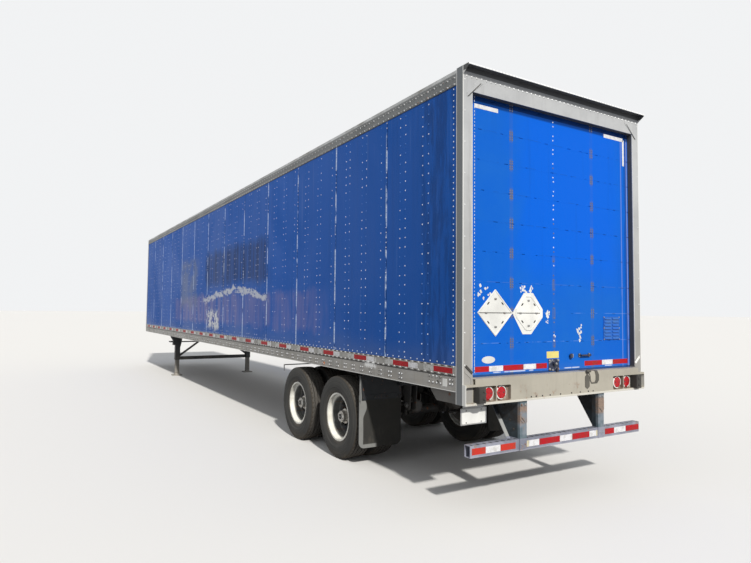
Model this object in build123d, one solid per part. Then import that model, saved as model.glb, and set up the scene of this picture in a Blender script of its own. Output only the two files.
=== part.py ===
from build123d import *
import os
from math import cos, pi, sin, sqrt

# A 53 ft dry-van semi-trailer with a roll-up rear door, parked on its landing legs.
# Millimetres. +X runs forward, +Y to the street (left) side, +Z up.
# Shapes are drawn with x = 0 at the rear face of the rear posts and moved on export, so
# that the origin lies on the ground under the middle of the outer box.

# Overall sizes
BODY_LENGTH = 16064.0        # rear post face to nose
BUMPER_PROUD = 90.0          # dock bumpers stand this far behind the posts
WIDTH = 2590.8
HEIGHT = 4115.0
HALF_W = WIDTH / 2
RUNNING_GAP = 0.3            # between a pin or shaft and its bore

# Floor
FLOOR_TOP = 1245.0
FLOOR_T = 35.0
CROSS_H = 102.0
CROSS_W = 57.0
CROSS_T = 5.0
CROSS_PITCH = 304.8
CROSS_FIRST_X = 230.0
CROSS_TOP = FLOOR_TOP - FLOOR_T
CROSS_BOTTOM = CROSS_TOP - CROSS_H

# Side rails
RAIL_WEB_T = 6.0
BOTTOM_RAIL_RISE = 100.0     # its top above the floor
BOTTOM_RAIL_TOP = FLOOR_TOP + BOTTOM_RAIL_RISE
BOTTOM_RAIL_BAND = 95.0      # height of the proud band that carries the tape
BOTTOM_RAIL_STEP = 4.0
TOP_RAIL_H = 126.0
TOP_RAIL_RADIUS = 18.0
TOP_RAIL_LEDGE = 70.0
TOP_RAIL_LEDGE_T = 6.0

# Roof
ROOF_CROWN = 8.0
ROOF_T = 33.0
TOP_RAIL_TOP = HEIGHT - ROOF_CROWN - ROOF_T
TOP_RAIL_BOTTOM = TOP_RAIL_TOP - TOP_RAIL_H
WALL_TOP = TOP_RAIL_TOP - TOP_RAIL_LEDGE_T

# Side walls: riveted sheets lapped at each seam over inner posts and a liner
WALL_T = 40.0
SHEET_INSET = 3.0            # sheets lie this far inside the rails' outer faces
SHEET_WIDTH = 1219.2
SHEET_FIRST_X = 100.0
LAP_W = 50.0
LAP_T = 1.5

# Front end
NOSE_RADIUS = 90.0
NOSE_POST_W = 150.0
NOSE_POST_T = 6.0
NOSE_WALL_T = 45.0
NOSE_PANELS = 4

# Air and lamp connections in a recess of the lower nose rail
RECESS_HALF_W = 230.0
RECESS_DEPTH = 84.0
RECESS_RIM = 10.0            # above the rail's lower edge, and below the floor
RECESS_T = 4.0
COUPLING_Y = 150.0
COUPLING_R = 28.0
COUPLING_PROUD = 62.0
SOCKET_R = 32.0
SOCKET_PROUD = 50.0

# Rear frame
POST_W = 115.0
POST_D = 96.0
POST_T = 6.0
CAP_SEAT = 24.0              # the posts end this far below the top rails
POST_TOP = TOP_RAIL_TOP - CAP_SEAT
HEADER_H = 170.0
HEADER_BOTTOM = POST_TOP - HEADER_H
SILL_TOP = 1238.0
SILL_BOTTOM = 1000.0
SILL_PROUD = 40.0
SILL_T = 6.0
SILL_LIP = 7.0
SILL_LIP_H = 14.0
CAP_PROUD = 82.0
CAP_DROP = 16.0
CAP_SETBACK = 6.0
CAP_T = 5.0
CAP_FLANGE = 22.0
GUSSET_W = 38.0
GUSSET_T = 4.0
GUSSET_REACH = 175.0
FOOT_PLATE_W = 92.0
FOOT_PLATE_RISE = 74.0
FOOT_PLATE_SLOPE = 56.0

# Tail lamps and dock bumpers in the sill's lamp boxes
LAMP_BOX_INNER_Y = 745.0
LAMP_BOX_BOTTOM = 1022.0
LAMP_BOX_TOP = 1165.0
LAMP_BOX_ROOF = 20.0
LAMP_BOX_CORNER = 16.0
LAMP_BOX_END = 6.0
LAMP_R = 54.0
LAMP_RIM = 7.0
LAMP_PROUD = 18.0
LAMP_ROUND = 8.0
LAMP_PITCH = 160.0
LAMP_FIRST_Y = 845.0
LAMP_DIVIDER = 8.0
BUMPER_OUTER_Y = 1172.0
BUMPER_W = 80.0
BUMPER_ROUND = 14.0

# Marker lamps: an amber warning lamp by the tandem and two clearance lamps on the nose
WARNING_X = 2811.0
WARNING_Z = 1151.0
WARNING_R = 20.0
CLEARANCE_Y = 1100.0
CLEARANCE_HALF_L = 55.0
CLEARANCE_HALF_H = 17.0

# Roll-up door, its edges and top shutting on the returns of the posts and header
DOOR_BACK_X = 62.0
DOOR_T = 26.0
DOOR_PANEL_H = 289.5
DOOR_GAP = 3.0
DOOR_CHAMFER = 2.5
DOOR_HALF_W = HALF_W - POST_W + 31.6
DOOR_TUCK = 104.0            # above the header's lower edge, inside
SEAL_H = 16.0
SEAL_T = 14.0
DOOR_BOTTOM = SILL_TOP + SEAL_H
HINGE_COLUMNS = (634.0, 45.0, -552.0)
HINGE_W = 50.0
HINGE_H = 86.0
HINGE_T = 3.0

# Placard holders and vent on the door
PLACARD_T = 3.0
PLACARD_RISE = 579.0         # middle above the door's lower edge
PLACARDS = (
    # y of the middle, half diagonal, corner clip
    (847.0, 226.0, 4.0),
    (410.0, 212.0, 42.0),
)
VENT_Y = -862.0
VENT_RISE = 421.0
VENT_W = 268.0
VENT_H = 250.0
VENT_T = 5.0
VENT_SLATS = 7
SLAT_W = 104.0
SLAT_PROUD = 11.0

# Lock, knob and pull handle on the lowest panel
LOCK_Y = 55.0
LOCK_W = 150.0
LOCK_H = 116.0
LOCK_T = 5.0
LOCK_PIVOT_R = 22.0
LOCK_LEVER_T = 10.0
LOCK_STAND_OFF = 22.0
KNOB_Y = -193.0
HANDLE_Y = (-487.0, -335.0)
HANDLE_RISE = 141.0
KNOB_R = 24.0
HANDLE_STAND_OFF = 26.0
HANDLE_BAR = 9.0

# Webbing pull strap, knotted over the sill
STRAP_T = 3.0
STRAP_TAIL_Y = (-364.0, -293.0)
STRAP_TAIL_END = 1055.0
STRAP_LOOP_Y = (-512.0, -366.0)
STRAP_LOOP_END = 1106.0
STRAP_LEG = 52.0
STRAP_EDGE = 13.0            # the twisted strap seen on its edge
STRAP_KNOT_R = 13.0

# Underride guard
GUARD_TUBE_BOTTOM = 530.0
GUARD_TUBE_H = 110.0
GUARD_TUBE_D = 80.0
GUARD_TUBE_T = 6.0
GUARD_HALF_W = 1219.0
GUARD_SLOT_PITCH = 75.0
GUARD_SLOT_R = 8.0
GUARD_POST_Y = 567.0
GUARD_POST_W = 90.0
GUARD_PLATE_T = 8.0
GUARD_REAR_X = -20.0
GUARD_WEB_TOP = 370.0
GUARD_WEB_FOOT = 88.0
GUARD_LIP_W = 45.0
GUARD_RETURN = 70.0
GUARD_COVER_BOTTOM = 790.0
GUARD_COVER_T = 5.0
GUARD_COVER_CLIP = 34.0

# Licence plate bracket
PLATE_Y = HALF_W - 177.4
PLATE_W = 305.0
PLATE_H = 152.0
PLATE_X = 56.0
PLATE_DROP = 35.0
PLATE_T = 4.0
PLATE_HANGER_T = 5.0
PLATE_HANGER_INSET = 30.0

# Side skirts behind the rear corner
SKIRT_X = (POST_D + 4.0, 590.0)
SKIRT_Y = 1200.0
SKIRT_H = 128.0
SKIRT_T = 5.0
SKIRT_CUT = 90.0

# Slide rails under the cross-members, on which the tandem moves
SLIDE_RAIL_Y = 610.0
SLIDE_RAIL_H = 90.0
SLIDE_RAIL_T = 7.0
SLIDE_FLANGE = 62.0
SLIDE_RAIL_X = (110.0, 6100.0)
SLIDE_RAIL_BOTTOM = CROSS_BOTTOM - SLIDE_RAIL_H
SLIDE_HOLE_R = 17.5
SLIDE_HOLE_PITCH = 152.4
SLIDE_HOLES = (900.0, 5800.0)
SLIDE_CLEAR = 0.5

# Tandem frame
AXLE_X = (3700.0, 2455.0)    # front axle, rear axle
TANDEM_X = sum(AXLE_X) / 2
BOGIE_X = (1745.0, 4480.0)
BOGIE_RAIL_W = 70.0
BOGIE_RAIL_TOP = 1100.0
BOGIE_RAIL_BOTTOM = 940.0
BOGIE_RAIL_T = 8.0
BOGIE_SIDE_GAP = 8.0
BOGIE_RAIL_OUTER = SLIDE_RAIL_Y - SLIDE_FLANGE - BOGIE_SIDE_GAP
BOGIE_LIP_GAP = 5.0
BOGIE_CROSS_X = (1800.0, 2460.0, 3080.0, 3700.0, 4420.0)
BOGIE_CROSS_W = 80.0
BOGIE_CROSS_H = 100.0
SPRING_Y = 505.0

# Lock pins of the slider, drawn back out of the slide rails' holes
LOCK_PIN_HOLES = (7, 22)     # which hole each pin stands at, counted from the rear
LOCK_PIN_R = 16.0
LOCK_PIN_BACK = 6.0          # its nose inside the slide rail's web
LOCK_PIN_TAIL_Y = 476.0
PULL_ROD_R = 8.0
PULL_HANDLE_X = 4330.0
PULL_HANDLE_Z = 1000.0
PULL_HANDLE_Y = 1225.0

# Springs: three leaves on each axle seat, ends under the hanger cams
AXLE_TUBE_R = 63.5
TYRE_R = 510.0
SEAT_H = 42.0
LEAF_W = 76.0
LEAF_T = 15.0
LEAF_COUNT = 3
LEAF_HALF = 500.0
LEAF_STEP = 90.0
LEAF_RISE = 62.0
SPRING_R = (LEAF_HALF ** 2 + LEAF_RISE ** 2) / (2 * LEAF_RISE)
SEAT_TOP = TYRE_R + AXLE_TUBE_R + SEAT_H
SPRING_TOP = SEAT_TOP + LEAF_COUNT * LEAF_T
SPRING_CENTRE_Z = SPRING_TOP + SPRING_R
CAM_R = 26.0
CAM_FROM_END = 30.0
U_BOLT_R = 9.0
U_BOLT_X = 76.0
U_BOLT_GAP = 1.0
U_BOLT_BEND = 20.0
CLAMP_T = 14.0
CLAMP_HALF_L = 96.0
CLAMP_EDGE = 16.0            # from a U-bolt's middle to the clamp plates' edge

# Hangers, equalizers and radius rods
HANGER_PLATE_T = 8.0
HANGER_HALF_L = 70.0
HANGER_FLARE = 1.3
HANGER_BOTTOM = 604.0
HANGER_GAP = 2.0
HANGER_PAD = 20.0
HANGER_OFFSET = 490.0        # outer hangers from their axles
EQUALIZER_Z = 800.0
EQUALIZER_PIN_R = 24.0
EQUALIZER_BOSS_R = 46.0
ROD_R = 19.0
ROD_EYE_R = 30.0
ROD_PIN_R = 14.0
ROD_EYE_Z = 640.0
ROD_SEAT_X = 112.0
ROD_SEAT_Z = 560.0
ROD_EYE_W = 60.0
ROD_EYE_GAP = 1.0
ROD_EAR_T = 6.0

# Axles
SPINDLE_R = 40.0
SPINDLE_START_Y = 700.0
SPINDLE_END_Y = 1140.0
SPINDLE_TAPER = 25.0
SHIELD_Y = (664.0, 668.0)
SHIELD_R = 192.0

# Wheels: a pair of tyres on disc wheels, one hub and drum for each pair
TYRE_W = 280.0
TREAD_HALF_W = 108.0
TREAD_CROWN = 4.0
BULGE_R = 400.0
SHOULDER = (124.0, 490.0)    # side of the tread and its radius
BEAD_R = 286.0
RIM_FLANGE_R = 299.0
RIM_HALF_W = 112.0
RIM_T = 8.0
WELL_R = 254.0
WELL_HALF_W = 45.0
WELL_TOP_HALF_W = 70.0
DISC_T = 11.0
DISC_OFFSET = 171.5          # tyre centre to the middle between the pair
DISC_FLAT_R = 184.0
DISC_SHOULDER = (100.0, 226.0)
PAIR_Y = HALF_W - TYRE_W / 2 - DISC_OFFSET
HUB_PILOT_R = 110.0
BOLT_CIRCLE_R = 142.9
WHEEL_STUDS = 10
HAND_HOLES = 5
HAND_HOLE_R = 30.0
HAND_HOLE_CIRCLE_R = 212.0
HUB_INNER_Y = 760.0
HUB_FLANGE_R = 170.0
HUB_FLANGE_T = 20.0
HUB_BARREL_R = 86.0
HUB_BARREL_END = 168.0       # from the middle between the pair
HUB_CAP_R = 70.0
HUB_CAP_END = 245.0
HUB_CAP_ROUND = 12.0
HUB_CAP_LIP_R = 92.0
HUB_CAP_LIP_T = 10.0
DRUM_R = 208.0
DRUM_T = 18.0
DRUM_INNER_Y = 682.0
STUD_R = 11.0
STUD_CLEAR = 0.5
STUD_END = 55.0
NUT_R = 19.0
NUT_H = 24.0

# Brake gear behind each axle
CHAMBER_Y = 330.0
CHAMBER_Z = 626.0
CHAMBER_X = -196.0           # front face from the axle
CHAMBER_R = 80.0
CHAMBER_BAND_R = 90.0
CHAMBER_SPRING_R = 86.0
CAMSHAFT_X = -118.0
CAMSHAFT_Z = 500.0
CAMSHAFT_R = 18.0
BRACKET_Y = 48.0             # bracket plates each side of the lever
BRACKET_T = 9.0
SLACK_T = 24.0
SLACK_BOSS_R = 34.0
SLACK_TIP_R = 17.0
PUSHROD_R = 9.0

# Air reservoir
TANK_R = 120.0
TANK_HALF_L = 380.0
TANK_ROUND = 55.0
TANK_GAP = 12.0
TANK_SADDLE_Y = 240.0
TANK_SADDLE_W = 40.0

# Mud flaps and the plates that carry them
FLAP_X = 1868.0
FLAP_T = 9.0
FLAP_INNER_Y = HALF_W - 590.4
FLAP_OUTER_Y = HALF_W - 5.4
FLAP_BOTTOM = 235.0
FLAP_TOP = 850.0
FLAP_CORNER_R = 70.0
FLAP_BAR_H = 60.0
HANGER_PLATE_TOP = 1085.0
FLAP_PLATE_T = 4.0
FLAP_EDGE_LOW = 46.0
FLAP_EDGE_HIGH = 10.0
FLAP_ARM_H = 50.0

# Landing gear
LEG_X = 12650.0
LEG_Y = 1010.0
LEG_OUTER = 127.0
LEG_WALL = 12.0
LEG_CLEAR = 0.5
LEG_OUTER_BOTTOM = 430.0
LEG_OUTER_TOP = 1096.0
LEG_OVERLAP = 300.0
PAD_SIZE = 262.0
PAD_T = 12.0
PAD_CORNER = 30.0
PAD_PIVOT_H = 78.0
PAD_PIN_R = 15.0
WING_LENGTH = 560.0
WING_T = 8.0
WING_FOOT_Z = 800.0
WING_EDGE_H = 40.0
FLARE_OUT = 118.0            # gusset past the leg, to the street and to the middle
FLARE_IN = 60.0
FLARE_FOOT_Z = 872.0
CROSS_TUBE_H = 90.0
BRACE_TOP_Y = (230.0, 150.0)
BRACE_T = 10.0
GEARBOX_Z = (840.0, 1020.0)
GEARBOX_HALF_L = 60.0
GEARBOX_DEPTH = 60.0
GEARBOX_ROUND = 20.0
CRANK_Z = 930.0
CRANK_SHAFT_R = 14.0
CRANK_ARM_L = 240.0

# Upper coupler and kingpin
COUPLER_T = 10.0
COUPLER_LENGTH = 1780.0
COUPLER_HALF_W = 1120.0
COUPLER_CORNER = 160.0
KINGPIN_SETBACK = 914.4
KINGPIN_R = 25.4
KINGPIN_HEAD_R = 35.7
KINGPIN_NECK = 33.0
KINGPIN_HEAD = 35.0
KINGPIN_COLLAR_R = 36.5
KINGPIN_COLLAR = 16.0


def block(x, y, z):
    """A box between the low and high ends given for each axis."""
    return Pos((x[0] + x[1]) / 2, (y[0] + y[1]) / 2, (z[0] + z[1]) / 2) * Box(
        x[1] - x[0], y[1] - y[0], z[1] - z[0]
    )


def side_plane(y):
    """The plane of an (x, z) drawing whose extrusion ends at y."""
    return Plane(origin=(0, y, 0), x_dir=(1, 0, 0), z_dir=(0, -1, 0))


def along_x(outline, x):
    """A (y, z) outline carried from x[0] to x[1]."""
    face = Plane.YZ.offset(x[0]) * make_face(Polyline(*outline, close=True))
    return extrude(face, amount=x[1] - x[0])


def along_y(outline, y):
    """An (x, z) outline carried from y[0] to y[1]."""
    face = side_plane(y[1]) * make_face(Polyline(*outline, close=True))
    return extrude(face, amount=y[1] - y[0])


def along_z(outline, z):
    """An (x, y) outline carried from z[0] to z[1]."""
    face = Plane.XY.offset(z[0]) * make_face(Polyline(*outline, close=True))
    return extrude(face, amount=z[1] - z[0])


def turned(profile):
    """A (y, radius) profile turned about the Y axis."""
    return revolve(Plane.YZ * make_face(Polyline(*profile, close=True)), Axis.Y, 360)


def rod(start, end, radius):
    """A round bar from one point to another."""
    path = Vector(*end) - Vector(*start)
    plane = Plane(origin=start, z_dir=path)
    return extrude(plane * Circle(radius), amount=path.length)


def link(ends, y):
    """A flat lever whose outline wraps the (x, z, radius) circles, from y[0] to y[1]."""
    edges = [edge for x, z, r in ends for edge in (Pos(x, z) * Circle(r)).edges()]
    return extrude(side_plane(y[1]) * make_hull(edges), amount=y[1] - y[0])


def opposite(shape):
    """The same piece on the kerb side."""
    return mirror(shape, about=Plane.XZ)


def both_sides(shape):
    return [shape, opposite(shape)]


def steps(first, last, pitch):
    """Places from first up to last, one pitch apart."""
    return [first + pitch * i for i in range(int((last - first) / pitch) + 1)]


def around(count, radius, turn=0.0):
    """(x, z) places evenly round the Y axis, turned by a share of one pitch."""
    angles = [2 * pi * (i + turn) / count for i in range(count)]
    return [(radius * cos(a), radius * sin(a)) for a in angles]


def floor_deck():
    y_in = HALF_W - RAIL_WEB_T - WALL_T
    return block((POST_D, BODY_LENGTH - NOSE_WALL_T), (-y_in, y_in), (CROSS_TOP, FLOOR_TOP))


def crossmembers():
    """I-beams across the whole floor."""
    half, web, end_y = CROSS_W / 2, CROSS_T / 2, HALF_W - RAIL_WEB_T
    low, high = CROSS_BOTTOM, CROSS_TOP
    outline = [
        (-half, low), (half, low), (half, low + CROSS_T), (web, low + CROSS_T),
        (web, high - CROSS_T), (half, high - CROSS_T), (half, high), (-half, high),
        (-half, high - CROSS_T), (-web, high - CROSS_T), (-web, low + CROSS_T), (-half, low + CROSS_T),
    ]
    beam = along_y(outline, (-end_y, end_y))
    last = BODY_LENGTH - NOSE_POST_W
    return [Pos(x, 0, 0) * beam for x in steps(CROSS_FIRST_X, last, CROSS_PITCH)]


def bottom_rail():
    """Stepped extrusion whose upper band stands proud of its lower one."""
    outer, web = HALF_W, HALF_W - RAIL_WEB_T
    lower = outer - BOTTOM_RAIL_STEP
    step_z = BOTTOM_RAIL_TOP - BOTTOM_RAIL_BAND
    outline = [
        (lower, CROSS_BOTTOM), (lower, step_z), (outer, step_z + BOTTOM_RAIL_STEP),
        (outer, BOTTOM_RAIL_TOP), (web, BOTTOM_RAIL_TOP), (web, CROSS_BOTTOM),
    ]
    return along_x(outline, (POST_D, BODY_LENGTH - NOSE_RADIUS))


def side_wall():
    outer = HALF_W - SHEET_INSET
    web = HALF_W - RAIL_WEB_T
    inner = web - WALL_T
    outline = [
        (outer, BOTTOM_RAIL_TOP), (outer, TOP_RAIL_BOTTOM), (web, TOP_RAIL_BOTTOM),
        (web, WALL_TOP), (inner, WALL_TOP),
        (inner, CROSS_TOP), (web, CROSS_TOP), (web, BOTTOM_RAIL_TOP),
    ]
    front = BODY_LENGTH - NOSE_POST_W
    wall = along_x(outline, (POST_D, front))
    sheet_z = (BOTTOM_RAIL_TOP, TOP_RAIL_BOTTOM)
    laps = [
        block((x - LAP_W / 2, x + LAP_W / 2), (outer, outer + LAP_T), sheet_z)
        for x in steps(SHEET_FIRST_X + SHEET_WIDTH, front - SHEET_WIDTH / 2, SHEET_WIDTH)
    ]
    return wall + laps


def top_rail():
    """Round-shouldered angle with a ledge for the wall's top and the roof."""
    outer, web = HALF_W, HALF_W - RAIL_WEB_T
    inner, top = HALF_W - TOP_RAIL_LEDGE, TOP_RAIL_TOP
    r = TOP_RAIL_RADIUS
    with BuildSketch(Plane.YZ.offset(POST_D)) as section:
        with BuildLine():
            Line((outer, TOP_RAIL_BOTTOM), (outer, top - r))
            RadiusArc((outer, top - r), (outer - r, top), -r)
            Line((outer - r, top), (inner, top))
            Line((inner, top), (inner, WALL_TOP))
            Line((inner, WALL_TOP), (web, WALL_TOP))
            Line((web, WALL_TOP), (web, TOP_RAIL_BOTTOM))
            Line((web, TOP_RAIL_BOTTOM), (outer, TOP_RAIL_BOTTOM))
        make_face()
    return extrude(section.sketch, amount=BODY_LENGTH - NOSE_RADIUS - POST_D)


def roof():
    """One crowned sheet with its bows, lying on the top rails' ledges."""
    half = HALF_W - TOP_RAIL_RADIUS
    edge, crown = TOP_RAIL_TOP + ROOF_T, TOP_RAIL_TOP + ROOF_T + ROOF_CROWN
    with BuildSketch(Plane.YZ.offset(POST_D)) as section:
        with BuildLine():
            Polyline((-half, edge), (-half, TOP_RAIL_TOP), (half, TOP_RAIL_TOP), (half, edge))
            ThreePointArc((half, edge), (0, crown), (-half, edge))
        make_face()
    return extrude(section.sketch, amount=BODY_LENGTH - NOSE_RADIUS - POST_D)


def nose_posts():
    """Round-cornered posts that join the side walls to the front wall."""
    nose, side, r = BODY_LENGTH, HALF_W, NOSE_RADIUS
    t, w = NOSE_POST_T, NOSE_POST_W
    with BuildSketch(Plane.XY.offset(BOTTOM_RAIL_TOP)) as section:
        with BuildLine():
            Line((nose - w, side), (nose - r, side))
            RadiusArc((nose - r, side), (nose, side - r), r)
            Line((nose, side - r), (nose, side - w))
            Line((nose, side - w), (nose - t, side - w))
            Line((nose - t, side - w), (nose - t, side - r))
            RadiusArc((nose - t, side - r), (nose - r, side - t), -(r - t))
            Line((nose - r, side - t), (nose - w, side - t))
            Line((nose - w, side - t), (nose - w, side))
        make_face()
    return both_sides(extrude(section.sketch, amount=TOP_RAIL_BOTTOM - BOTTOM_RAIL_TOP))


def front_wall():
    """Flat sheets with lapped seams between the corner posts."""
    nose, half = BODY_LENGTH, HALF_W - NOSE_POST_W
    inner = HALF_W - NOSE_RADIUS
    sheet_z = (BOTTOM_RAIL_TOP, TOP_RAIL_BOTTOM)
    sheet_x = nose - SHEET_INSET
    wall = block((nose - NOSE_WALL_T, nose - NOSE_POST_T), (-inner, inner), (FLOOR_TOP, WALL_TOP))
    skin = block((nose - NOSE_POST_T, sheet_x), (-half, half), sheet_z)
    pitch = 2 * half / NOSE_PANELS
    laps = [
        block((sheet_x, sheet_x + LAP_T), (y - LAP_W / 2, y + LAP_W / 2), sheet_z)
        for y in [-half + pitch * i for i in range(1, NOSE_PANELS)]
    ]
    return wall + skin + laps


def nose_rail(low, high):
    """A rail across the nose, bent round both corners."""
    nose, side, r, t = BODY_LENGTH, HALF_W, NOSE_RADIUS, RAIL_WEB_T
    with BuildSketch(Plane.XY.offset(low)) as section:
        with BuildLine():
            RadiusArc((nose - r, side), (nose, side - r), r)
            Line((nose, side - r), (nose, r - side))
            RadiusArc((nose, r - side), (nose - r, -side), r)
            Line((nose - r, -side), (nose - r, t - side))
            RadiusArc((nose - r, t - side), (nose - t, r - side), -(r - t))
            Line((nose - t, r - side), (nose - t, side - r))
            RadiusArc((nose - t, side - r), (nose - r, side - t), -(r - t))
            Line((nose - r, side - t), (nose - r, side))
        make_face()
    return extrude(section.sketch, amount=high - low)


def recess_opening():
    """The window of the connection recess, through the lower nose rail."""
    z = (CROSS_BOTTOM + RECESS_RIM, CROSS_TOP - RECESS_RIM)
    x = (BODY_LENGTH - RAIL_WEB_T - RECESS_DEPTH, BODY_LENGTH)
    return block(x, (-RECESS_HALF_W, RECESS_HALF_W), z)


def clearance_lamp():
    """One amber lens, flush in the upper nose rail."""
    middle = (TOP_RAIL_BOTTOM + TOP_RAIL_TOP) / 2
    plane = Plane(origin=(BODY_LENGTH - RAIL_WEB_T, CLEARANCE_Y, middle), z_dir=(1, 0, 0), x_dir=(0, 1, 0))
    return extrude(plane * SlotOverall(2 * CLEARANCE_HALF_L, 2 * CLEARANCE_HALF_H), amount=RAIL_WEB_T)


def nose_rails():
    lower = nose_rail(CROSS_BOTTOM, BOTTOM_RAIL_TOP) - recess_opening()
    upper = nose_rail(TOP_RAIL_BOTTOM, TOP_RAIL_TOP) - both_sides(clearance_lamp())
    return [lower, upper]


def front_connections():
    """Recess box with the two air couplings and the lamp socket between them."""
    opening = recess_opening()
    t = RECESS_T
    back = BODY_LENGTH - RAIL_WEB_T - RECESS_DEPTH
    middle = (CROSS_BOTTOM + CROSS_TOP) / 2
    box = block(
        (back - t, BODY_LENGTH - RAIL_WEB_T),
        (-RECESS_HALF_W - t, RECESS_HALF_W + t),
        (CROSS_BOTTOM + RECESS_RIM - t, CROSS_TOP - RECESS_RIM + t),
    ) - opening
    for y in (-COUPLING_Y, COUPLING_Y):
        stem = rod((back, y, middle), (back + COUPLING_PROUD - COUPLING_R, y, middle), 0.5 * COUPLING_R)
        face_x = back + COUPLING_PROUD
        head = rod((face_x - COUPLING_R, y, middle), (face_x, y, middle), COUPLING_R)
        bore = rod((face_x - 0.4 * COUPLING_R, y, middle), (face_x, y, middle), 0.55 * COUPLING_R)
        ear = block((face_x - 0.7 * COUPLING_R, face_x), (y, y + 1.5 * COUPLING_R), (middle - 7, middle + 7))
        box += stem + head + ear - bore
    socket = rod((back, 0, middle), (back + SOCKET_PROUD, 0, middle), SOCKET_R)
    lid = rod((back + SOCKET_PROUD, 0, middle), (back + SOCKET_PROUD + 8, 0, middle), 1.15 * SOCKET_R)
    return box + socket + lid


def marker_lamps():
    face = HALF_W - BOTTOM_RAIL_STEP
    warning = rod((WARNING_X, face, WARNING_Z), (WARNING_X, HALF_W, WARNING_Z), WARNING_R)
    return [warning] + both_sides(clearance_lamp())


def rear_post():
    """Folded channel down past the sill's end, with the door's edge running inside it."""
    outer, inner, t = HALF_W, HALF_W - POST_W, POST_T
    outline = [
        (0, inner), (DOOR_BACK_X, inner), (DOOR_BACK_X, inner + t), (t, inner + t),
        (t, outer - t), (POST_D, outer - t), (POST_D, outer), (0, outer),
    ]
    post = along_z(outline, (SILL_BOTTOM, POST_TOP))
    low_y, w = inner, FOOT_PLATE_W
    corner = [
        (low_y, LAMP_BOX_TOP + LAMP_BOX_ROOF), (low_y, SILL_TOP + FOOT_PLATE_RISE - FOOT_PLATE_SLOPE),
        (low_y + w, SILL_TOP + FOOT_PLATE_RISE), (low_y + w, SILL_TOP + FOOT_PLATE_RISE - 0.5 * GUSSET_W),
        (low_y + 0.25 * w, SILL_TOP), (low_y + 0.25 * w, LAMP_BOX_TOP + LAMP_BOX_ROOF),
    ]
    return post + along_x(corner, (-GUSSET_T, 0))


def rear_header():
    """Folded header with its drip cap and the two corner gussets."""
    half, t = HALF_W - POST_W, POST_T
    channel = [
        (0, HEADER_BOTTOM), (DOOR_BACK_X, HEADER_BOTTOM), (DOOR_BACK_X, HEADER_BOTTOM + t),
        (t, HEADER_BOTTOM + t), (t, POST_TOP), (0, POST_TOP),
    ]
    beam = along_y(channel, (-half, half))
    top = TOP_RAIL_TOP + ROOF_T
    cap_outline = [
        (-CAP_T, POST_TOP - CAP_FLANGE), (-CAP_T, top - CAP_T), (CAP_SETBACK - CAP_PROUD, top - CAP_T),
        (-CAP_PROUD, top - CAP_DROP), (-CAP_PROUD - CAP_T, top - CAP_DROP),
        (CAP_SETBACK - CAP_PROUD - CAP_T, top), (POST_D, top), (POST_D, POST_TOP), (0, POST_TOP),
        (0, POST_TOP - CAP_FLANGE),
    ]
    cap = along_y(cap_outline, (-HALF_W, HALF_W))
    end_outline = [
        (0, POST_TOP), (0, top - CAP_T), (CAP_SETBACK - CAP_PROUD, top - CAP_T),
        (-CAP_PROUD, top - CAP_DROP), (-CAP_PROUD, top - CAP_DROP - CAP_T), (0, POST_TOP - CAP_FLANGE),
    ]
    end_plate = along_y(end_outline, (HALF_W - CAP_T, HALF_W))
    low_y = half + 0.6 * POST_W
    low_z = HEADER_BOTTOM - 0.5 * POST_W
    reach, w = GUSSET_REACH, GUSSET_W
    strip = [
        (low_y, low_z), (low_y, low_z + w), (low_y - reach, low_z + w + reach),
        (low_y - reach - w / 2, low_z + w / 2 + reach), (low_y - reach - w / 2, low_z + reach - w / 2),
    ]
    gusset = along_x(strip, (-GUSSET_T, 0))
    return beam + cap + both_sides(end_plate) + both_sides(gusset)


def rear_sill():
    """Formed channel between the posts, its face widened to a lamp box at each end."""
    inner, t, face = HALF_W - POST_W, SILL_T, -SILL_PROUD
    low, high = SILL_BOTTOM, SILL_TOP
    section = [
        (POST_D, low), (POST_D, low + t), (face + t, low + t), (face + t, high - t),
        (POST_D, high - t), (POST_D, high), (face, high), (face, low + SILL_LIP_H),
        (face - SILL_LIP, low + SILL_LIP_H), (face - SILL_LIP, low),
    ]
    sill = along_y(section, (-inner, inner))
    roof_z = LAMP_BOX_TOP + LAMP_BOX_ROOF
    box = block((face, 0), (LAMP_BOX_INNER_Y - t, HALF_W), (low, roof_z))
    box += block((0, t), (LAMP_BOX_INNER_Y - t, inner), (low, roof_z))
    middle = LAMP_FIRST_Y + LAMP_PITCH / 2
    z = (LAMP_BOX_BOTTOM, LAMP_BOX_TOP)
    pockets = [
        block((face, 0), (LAMP_BOX_INNER_Y, middle - LAMP_DIVIDER / 2), z),
        block((face, 0), (middle + LAMP_DIVIDER / 2, HALF_W - LAMP_BOX_END), z),
    ]
    rounded = [fillet(pocket.edges().filter_by(Axis.X), LAMP_BOX_CORNER) for pocket in pockets]
    cuts = rounded + [opposite(pocket) for pocket in rounded]
    return sill + both_sides(box) - cuts


def lamps():
    """Round tail lamps: a moulded ring with a domed lens."""
    middle = (LAMP_BOX_BOTTOM + LAMP_BOX_TOP) / 2
    pieces = []
    for y in (LAMP_FIRST_Y, LAMP_FIRST_Y + LAMP_PITCH):
        plane = Plane(origin=(0, y, middle), z_dir=(-1, 0, 0))
        ring = extrude(plane * Circle(LAMP_R + LAMP_RIM), amount=LAMP_PROUD / 2)
        lens = extrude(plane * Circle(LAMP_R), amount=LAMP_PROUD)
        lens = fillet(lens.edges().group_by(Axis.X)[0], LAMP_ROUND)
        pieces += both_sides(ring + lens)
    return pieces


def dock_bumpers():
    z = (LAMP_BOX_BOTTOM, LAMP_BOX_TOP)
    bumper = block((-BUMPER_PROUD, 0), (BUMPER_OUTER_Y - BUMPER_W, BUMPER_OUTER_Y), z)
    return both_sides(fillet(bumper.edges().filter_by(Axis.Z).group_by(Axis.X)[0], BUMPER_ROUND))


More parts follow.
